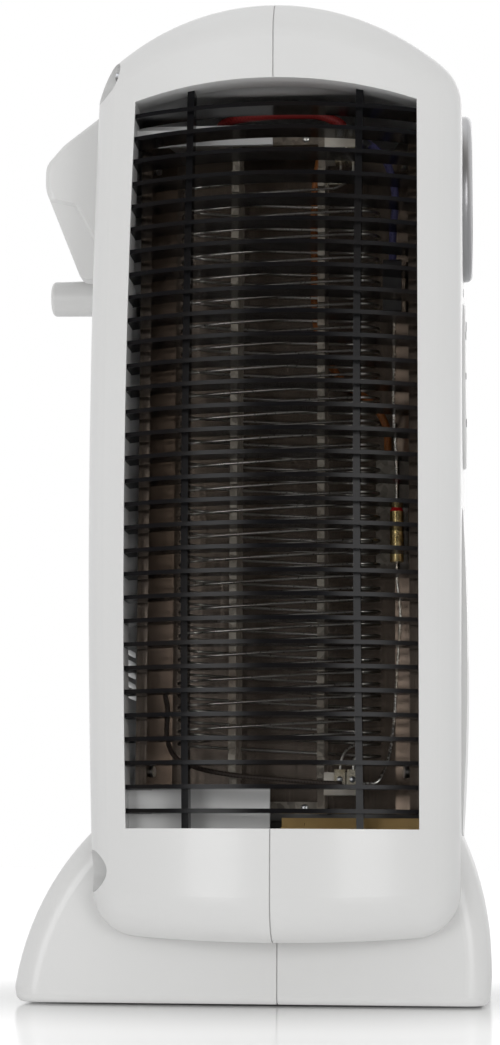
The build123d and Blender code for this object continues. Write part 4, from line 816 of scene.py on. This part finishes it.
# Leads between the controls, the elements, the cut-out and the fuse: stranded copper in woven
# glass-fibre or silicone sleeves, red, blue, orange and dark brown.
weave, inside, outside = surface_group(
    "woven_sleeve",
    ("Colour", "Color", (0.5, 0.5, 0.5, 1)),
    ("Gap Colour", "Color", (0.1, 0.1, 0.1, 1)),
    ("Strand Scale", "Float", 420.0),
    ("Strand Height", "Float", 0.00008),
)
spot = weave.nodes.new("ShaderNodeTexCoord")
right_hand = weave.nodes.new("ShaderNodeMapping")
right_hand.inputs["Rotation"].default_value = (radians(45), radians(30), radians(20))
left_hand = weave.nodes.new("ShaderNodeMapping")
left_hand.inputs["Rotation"].default_value = (radians(-45), radians(-30), radians(-20))
strands_a = weave.nodes.new("ShaderNodeTexWave")
strands_b = weave.nodes.new("ShaderNodeTexWave")
for strands in (strands_a, strands_b):
    strands.inputs["Distortion"].default_value = 0.5
crossed = weave.nodes.new("ShaderNodeMath")
crossed.operation = "MAXIMUM"
woven = weave.nodes.new("ShaderNodeMix")
woven.data_type = "RGBA"
dry = weave.nodes.new("ShaderNodeMapRange")
dry.inputs["To Min"].default_value = 0.75
dry.inputs["To Max"].default_value = 0.50
raised = weave.nodes.new("ShaderNodeBump")
connect(weave, (
    (spot.outputs["Object"], right_hand.inputs["Vector"]),
    (spot.outputs["Object"], left_hand.inputs["Vector"]),
    (right_hand.outputs["Vector"], strands_a.inputs["Vector"]),
    (left_hand.outputs["Vector"], strands_b.inputs["Vector"]),
    (inside.outputs["Strand Scale"], strands_a.inputs["Scale"]),
    (inside.outputs["Strand Scale"], strands_b.inputs["Scale"]),
    (strands_a.outputs["Fac"], crossed.inputs[0]),
    (strands_b.outputs["Fac"], crossed.inputs[1]),
    (crossed.outputs[0], woven.inputs[0]),
    (inside.outputs["Gap Colour"], woven.inputs[6]),
    (inside.outputs["Colour"], woven.inputs[7]),
    (woven.outputs[2], outside.inputs["Colour"]),
    (crossed.outputs[0], dry.inputs["Value"]),
    (dry.outputs["Result"], outside.inputs["Roughness"]),
    (crossed.outputs[0], raised.inputs["Height"]),
    (inside.outputs["Strand Height"], raised.inputs["Distance"]),
    (raised.outputs["Normal"], outside.inputs["Normal"]),
))


def sleeve(name, colour, gaps, strand_scale, strand_height):
    """Woven insulation of a lead."""
    material, shader = finish_from(name, weave, {
        "Colour": (*colour, 1),
        "Gap Colour": (*gaps, 1),
        "Strand Scale": strand_scale,
        "Strand Height": strand_height,
    })
    shader.inputs["Specular IOR Level"].default_value = 0.4
    return material


dress(sleeve("red_sleeve", (0.24, 0.012, 0.010), (0.10, 0.005, 0.005), 480, 0.00008), "lead_red")
dress(sleeve("blue_sleeve", (0.085, 0.080, 0.20), (0.035, 0.032, 0.085), 520, 0.00004), "lead_blue")
dress(sleeve("orange_sleeve", (0.36, 0.12, 0.025), (0.18, 0.055, 0.012), 520, 0.00004), "lead_orange")
dark_sleeve = sleeve("dark_sleeve", (0.050, 0.036, 0.028), (0.015, 0.012, 0.010), 460, 0.00008)
dress(dark_sleeve, "lead_slack")

# Sleeve and tag of the blue lead: black heat-shrink tube over its joint, and a short tag with red
# and white bands. Both are pushed over the lead near the top of the cut-out.
tube_sides, collar_lip, bore_share = 20, 0.00025, 0.72


def collar(name, middle, way, half, radius, material):
    """Short tube with rounded ends that is pushed over a lead."""
    axis = Vector(way).normalized()
    start = middle - axis * half
    length, lip, bore = 2 * half, collar_lip, radius * bore_share
    side_a = axis.orthogonal().normalized()
    side_b = axis.cross(side_a)
    profile = [(0, bore), (0, radius - lip), (lip, radius), (length - lip, radius), (length, radius - lip),
               (length, bore)]
    side_turns = [2 * pi * i / tube_sides for i in range(tube_sides)]
    solid = bmesh.new()
    rings = []
    for along, reach in profile:
        rings.append([
            solid.verts.new(start + axis * along + (side_a * cos(turn) + side_b * sin(turn)) * reach)
            for turn in side_turns
        ])
    for ring, following in zip(rings, rings[1:] + rings[:1]):
        for i in range(tube_sides):
            j = (i + 1) % tube_sides
            solid.faces.new((ring[i], ring[j], following[j], following[i]))
    bmesh.ops.recalc_face_normals(solid, faces=solid.faces)
    mesh = bpy.data.meshes.new(name)
    solid.to_mesh(mesh)
    solid.free()
    mesh.materials.append(material)
    mesh.shade_smooth()
    mesh.set_sharp_from_angle(angle=radians(40))
    piece = bpy.data.objects.new(name, mesh)
    scene.collection.objects.link(piece)
    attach(piece, "body")


shrink_black = plastic("shrink_sleeve", (0.014, 0.014, 0.015), (0.030, 0.029, 0.028), 200, 0.45, 0.12, 1200,
                       0.00004)
cutout_low, cutout_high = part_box("thermal_cutout")
lead_corner = Vector((cutout_high.x, cutout_low.y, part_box("lead_blue")[1].z))
sleeve_place, sleeve_way = Vector((-0.0108, 0.0034, -0.0089)), (-9, 3.8, 7.3)
sleeve_half, sleeve_radius = 0.0021, 0.00165
collar("blue_lead_sleeve", lead_corner + sleeve_place, sleeve_way, sleeve_half, sleeve_radius, shrink_black)
tag_place, tag_way = Vector((-0.0196, 0.0074, -0.0041)), (-12, 4.2, 2.6)
tag_half, tag_radius = 0.0026, 0.0016
striped, tree, shader = new_finish("striped_tag")
shader.inputs["Roughness"].default_value = 0.42
spot = tree.nodes.new("ShaderNodeTexCoord")
bands = tree.nodes.new("ShaderNodeTexWave")
bands.inputs["Scale"].default_value = 260
bands.inputs["Distortion"].default_value = 0.3
two_inks = tree.nodes.new("ShaderNodeValToRGB")
two_inks.color_ramp.interpolation = "CONSTANT"
two_inks.color_ramp.elements[0].color = (0.46, 0.035, 0.03, 1)
two_inks.color_ramp.elements[1].position = 0.5
two_inks.color_ramp.elements[1].color = (0.62, 0.60, 0.56, 1)
connect(tree, (
    (spot.outputs["Object"], bands.inputs["Vector"]),
    (bands.outputs["Fac"], two_inks.inputs["Fac"]),
    (two_inks.outputs["Color"], shader.inputs["Base Color"]),
))
collar("blue_lead_tag", lead_corner + tag_place, tag_way, tag_half, tag_radius, striped)

# Controls behind the front wall: the thermostat and the selector switch are dark heat-resisting
# mouldings, clipped behind their dials. The amber pilot lamp is pressed through the front wall.
control_brown = plastic("control_brown", (0.060, 0.045, 0.036), (0.090, 0.068, 0.052), 60, 0.46, 0.14, 1500,
                        0.00003)
dress(control_brown, "thermostat_body", "selector_switch")
amber, tree, shader = new_finish("amber_lens")
shader.inputs["Specular IOR Level"].default_value = 0.6
shader.inputs["Coat Weight"].default_value = 0.6
spot = tree.nodes.new("ShaderNodeTexCoord")
prisms = tree.nodes.new("ShaderNodeTexVoronoi")
prisms.inputs["Scale"].default_value = 900
depth = tree.nodes.new("ShaderNodeValToRGB")
depth.color_ramp.elements[0].color = (0.42, 0.05, 0.01, 1)
depth.color_ramp.elements[1].color = (0.85, 0.22, 0.04, 1)
facet = tree.nodes.new("ShaderNodeBump")
facet.inputs["Distance"].default_value = 0.0001
clear = tree.nodes.new("ShaderNodeMapRange")
clear.inputs["To Min"].default_value = 0.10
clear.inputs["To Max"].default_value = 0.24
connect(tree, (
    (spot.outputs["Object"], prisms.inputs["Vector"]),
    (prisms.outputs["Distance"], depth.inputs["Fac"]),
    (depth.outputs["Color"], shader.inputs["Base Color"]),
    (prisms.outputs["Distance"], clear.inputs["Value"]),
    (clear.outputs["Result"], shader.inputs["Roughness"]),
    (prisms.outputs["Distance"], facet.inputs["Height"]),
    (facet.outputs["Normal"], shader.inputs["Normal"]),
))
dress(amber, "pilot_lamp")

# Casing: two shells of semi-gloss white plastic, meeting in a fine seam round the middle. Four
# slotted screws in deep round recesses at the rear hold them together. The lower front cover is a
# shallow bulged plate of the same plastic.
white_casing = plastic("white_casing", (0.690, 0.690, 0.685), (0.672, 0.671, 0.664), 9, 0.34, 0.07, 2600,
                       0.000012, coat=0.15)
dress(white_casing, "front_shell", "rear_shell", "front_cover")
dress(zinc_plate, "shell_screws")

# Side grilles: glossy black slats moulded with two upright ribs, clipped into combs in the edges of
# the side openings.
grille_black = plastic("grille_black", (0.004, 0.004, 0.005), (0.007, 0.006, 0.006), 40, 0.22, 0.08, 1900,
                       0.000008, specular=0.14)
dress(grille_black, "side_grille_left", "side_grille_right")

# Thermostat dial: a round moulding in silver-grey lacquer, turned on its face so that fine rings
# catch the light. It is pushed on the spindle of the thermostat and stands in a shallow recess.
dial_low, dial_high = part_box("thermostat_knob")
dial_z = (dial_low.z + dial_high.z) / 2
silver, tree, shader = new_finish("silver_lacquer")
shader.inputs["Metallic"].default_value = 0.9
shader.inputs["Coat Weight"].default_value = 0.25
spot = tree.nodes.new("ShaderNodeTexCoord")
centred = tree.nodes.new("ShaderNodeMapping")
centred.inputs["Location"].default_value = (0, 0, -dial_z)
flat = tree.nodes.new("ShaderNodeVectorMath")
flat.operation = "MULTIPLY"
flat.inputs[1].default_value = (0, 1, 1)
radius_here = tree.nodes.new("ShaderNodeVectorMath")
radius_here.operation = "LENGTH"
rings = tree.nodes.new("ShaderNodeTexNoise")
rings.noise_dimensions = "1D"
rings.inputs["Scale"].default_value = 2600
rings.inputs["Detail"].default_value = 3
ring_tint = tree.nodes.new("ShaderNodeValToRGB")
ring_tint.color_ramp.elements[0].color = (0.33, 0.33, 0.34, 1)
ring_tint.color_ramp.elements[1].color = (0.50, 0.50, 0.51, 1)
ring_gloss = tree.nodes.new("ShaderNodeMapRange")
ring_gloss.inputs["To Min"].default_value = 0.33
ring_gloss.inputs["To Max"].default_value = 0.45
turned = tree.nodes.new("ShaderNodeBump")
turned.inputs["Distance"].default_value = 0.00002
connect(tree, (
    (spot.outputs["Object"], centred.inputs["Vector"]),
    (centred.outputs["Vector"], flat.inputs[0]),
    (flat.outputs["Vector"], radius_here.inputs[0]),
    (radius_here.outputs["Value"], rings.inputs["W"]),
    (rings.outputs["Fac"], ring_tint.inputs["Fac"]),
    (ring_tint.outputs["Color"], shader.inputs["Base Color"]),
    (rings.outputs["Fac"], ring_gloss.inputs["Value"]),
    (ring_gloss.outputs["Result"], shader.inputs["Roughness"]),
    (rings.outputs["Fac"], turned.inputs["Height"]),
    (turned.outputs["Normal"], shader.inputs["Normal"]),
))
dress(silver, "thermostat_knob")

# Dial marks: plain numbers in dark grey, a little raised on the face of the dial. Each is upright
# when it stands at the index mark of the casing.
mark_grey = plastic("mark_grey", (0.075, 0.075, 0.078), (0.095, 0.095, 0.098), 80, 0.50, 0.10, 1500,
                    0.00002)
facing_front = Matrix(((0, 0, 1, 0), (1, 0, 0, 0), (0, 1, 0, 0), (0, 0, 0, 1)))


def numeral(name, text, face_x, centre_z, radius, angle, size, thickness, body, inward):
    """A plain number on a round dial, turned so that it reads upright at the index."""
    script = bpy.data.curves.new(name + "_text", "FONT")
    script.body = text
    script.size = size
    script.extrude = thickness / 2
    script.align_x = "CENTER"
    script.align_y = "CENTER"
    line = bpy.data.objects.new(name + "_text", script)
    scene.collection.objects.link(line)
    bpy.context.view_layer.update()
    mesh = bpy.data.meshes.new_from_object(line.evaluated_get(bpy.context.evaluated_depsgraph_get()))
    bpy.data.objects.remove(line)
    turn = angle + (pi / 2 if inward else -pi / 2)
    place = (
        Matrix.Translation((face_x + thickness / 2, radius * cos(angle), centre_z + radius * sin(angle)))
        @ facing_front
        @ Matrix.Rotation(turn, 4, "Z")
    )
    mesh.transform(place)
    mesh.name = name
    mesh.materials.clear()
    mesh.materials.append(mark_grey)
    piece = bpy.data.objects.new(name, mesh)
    scene.collection.objects.link(piece)
    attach(piece, body)


mark_height, mark_sink = 0.0002, 0.00002
dial_dish, dial_top_mark, dial_mark_size, dial_mark_radius = 0.0004, 6, 0.0046, 0.0162
dial_step = radians(285) / dial_top_mark
for i in range(dial_top_mark + 1):
    numeral(f"dial_number_{i}", str(i), dial_high.x - dial_dish - mark_sink, dial_z, dial_mark_radius,
            -pi / 2 + dial_step * i, dial_mark_size, mark_height, "dial", True)

# Selector: a low disc in a round pocket of the front, in the white of the casing, with its own
# plain numbers and a finger dimple.
dress(white_casing, "selector_knob")
selector_low, selector_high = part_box("selector_knob")
selector_z = (selector_low.z + selector_high.z) / 2
selector_places, selector_step, selector_mark_size, selector_mark_radius = 4, radians(45), 0.0042, 0.0188
for i in range(selector_places):
    numeral(f"selector_number_{i}", str(i), selector_high.x - mark_sink, selector_z, selector_mark_radius,
            pi / 2 + selector_step * i, selector_mark_size, mark_height, "selector", False)

# Index mark: a small raised diamond in dark grey on the casing between the two dials. Both dials
# are read at it.
index_z = (dial_low.z + selector_high.z) / 2
index_tree, given, scatter = repeat_tree("index_marks", {"Radius": 0.0013, "Height": 0.0003})
gem = index_tree.nodes.new("GeometryNodeMeshCylinder")
gem.inputs["Vertices"].default_value = 4
connect(index_tree, (
    (given.outputs["Radius"], gem.inputs["Radius"]),
    (given.outputs["Height"], gem.inputs["Depth"]),
    (gem.outputs["Mesh"], scatter.inputs["Instance"]),
))
lamp_drop, index_sink = 0.0001, 0.00005
front_face_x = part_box("pilot_lamp")[1].x + lamp_drop - index_sink
index = grown("index_mark", [(0, 0, 0)], index_tree, {"Finish": mark_grey},
              Matrix.Translation((front_face_x, 0, index_z)) @ facing_front)
keep_mesh(index, mark_grey, "body")

# Carry handle, cord peg and their screws: moulded in the white of the casing and screwed to the
# rear from inside.
dress(white_casing, "rear_handle", "cord_peg")
dress(zinc_plate, "handle_screws")

# Mains terminal block and cable gland: a natural nylon block on the base plate, and a white gland
# in the rear of the base.
nylon = plastic("natural_nylon", (0.60, 0.585, 0.54), (0.52, 0.50, 0.44), 70, 0.44, 0.10, 1400, 0.00003)
dress(nylon, "mains_block")
dress(white_casing, "cable_gland")
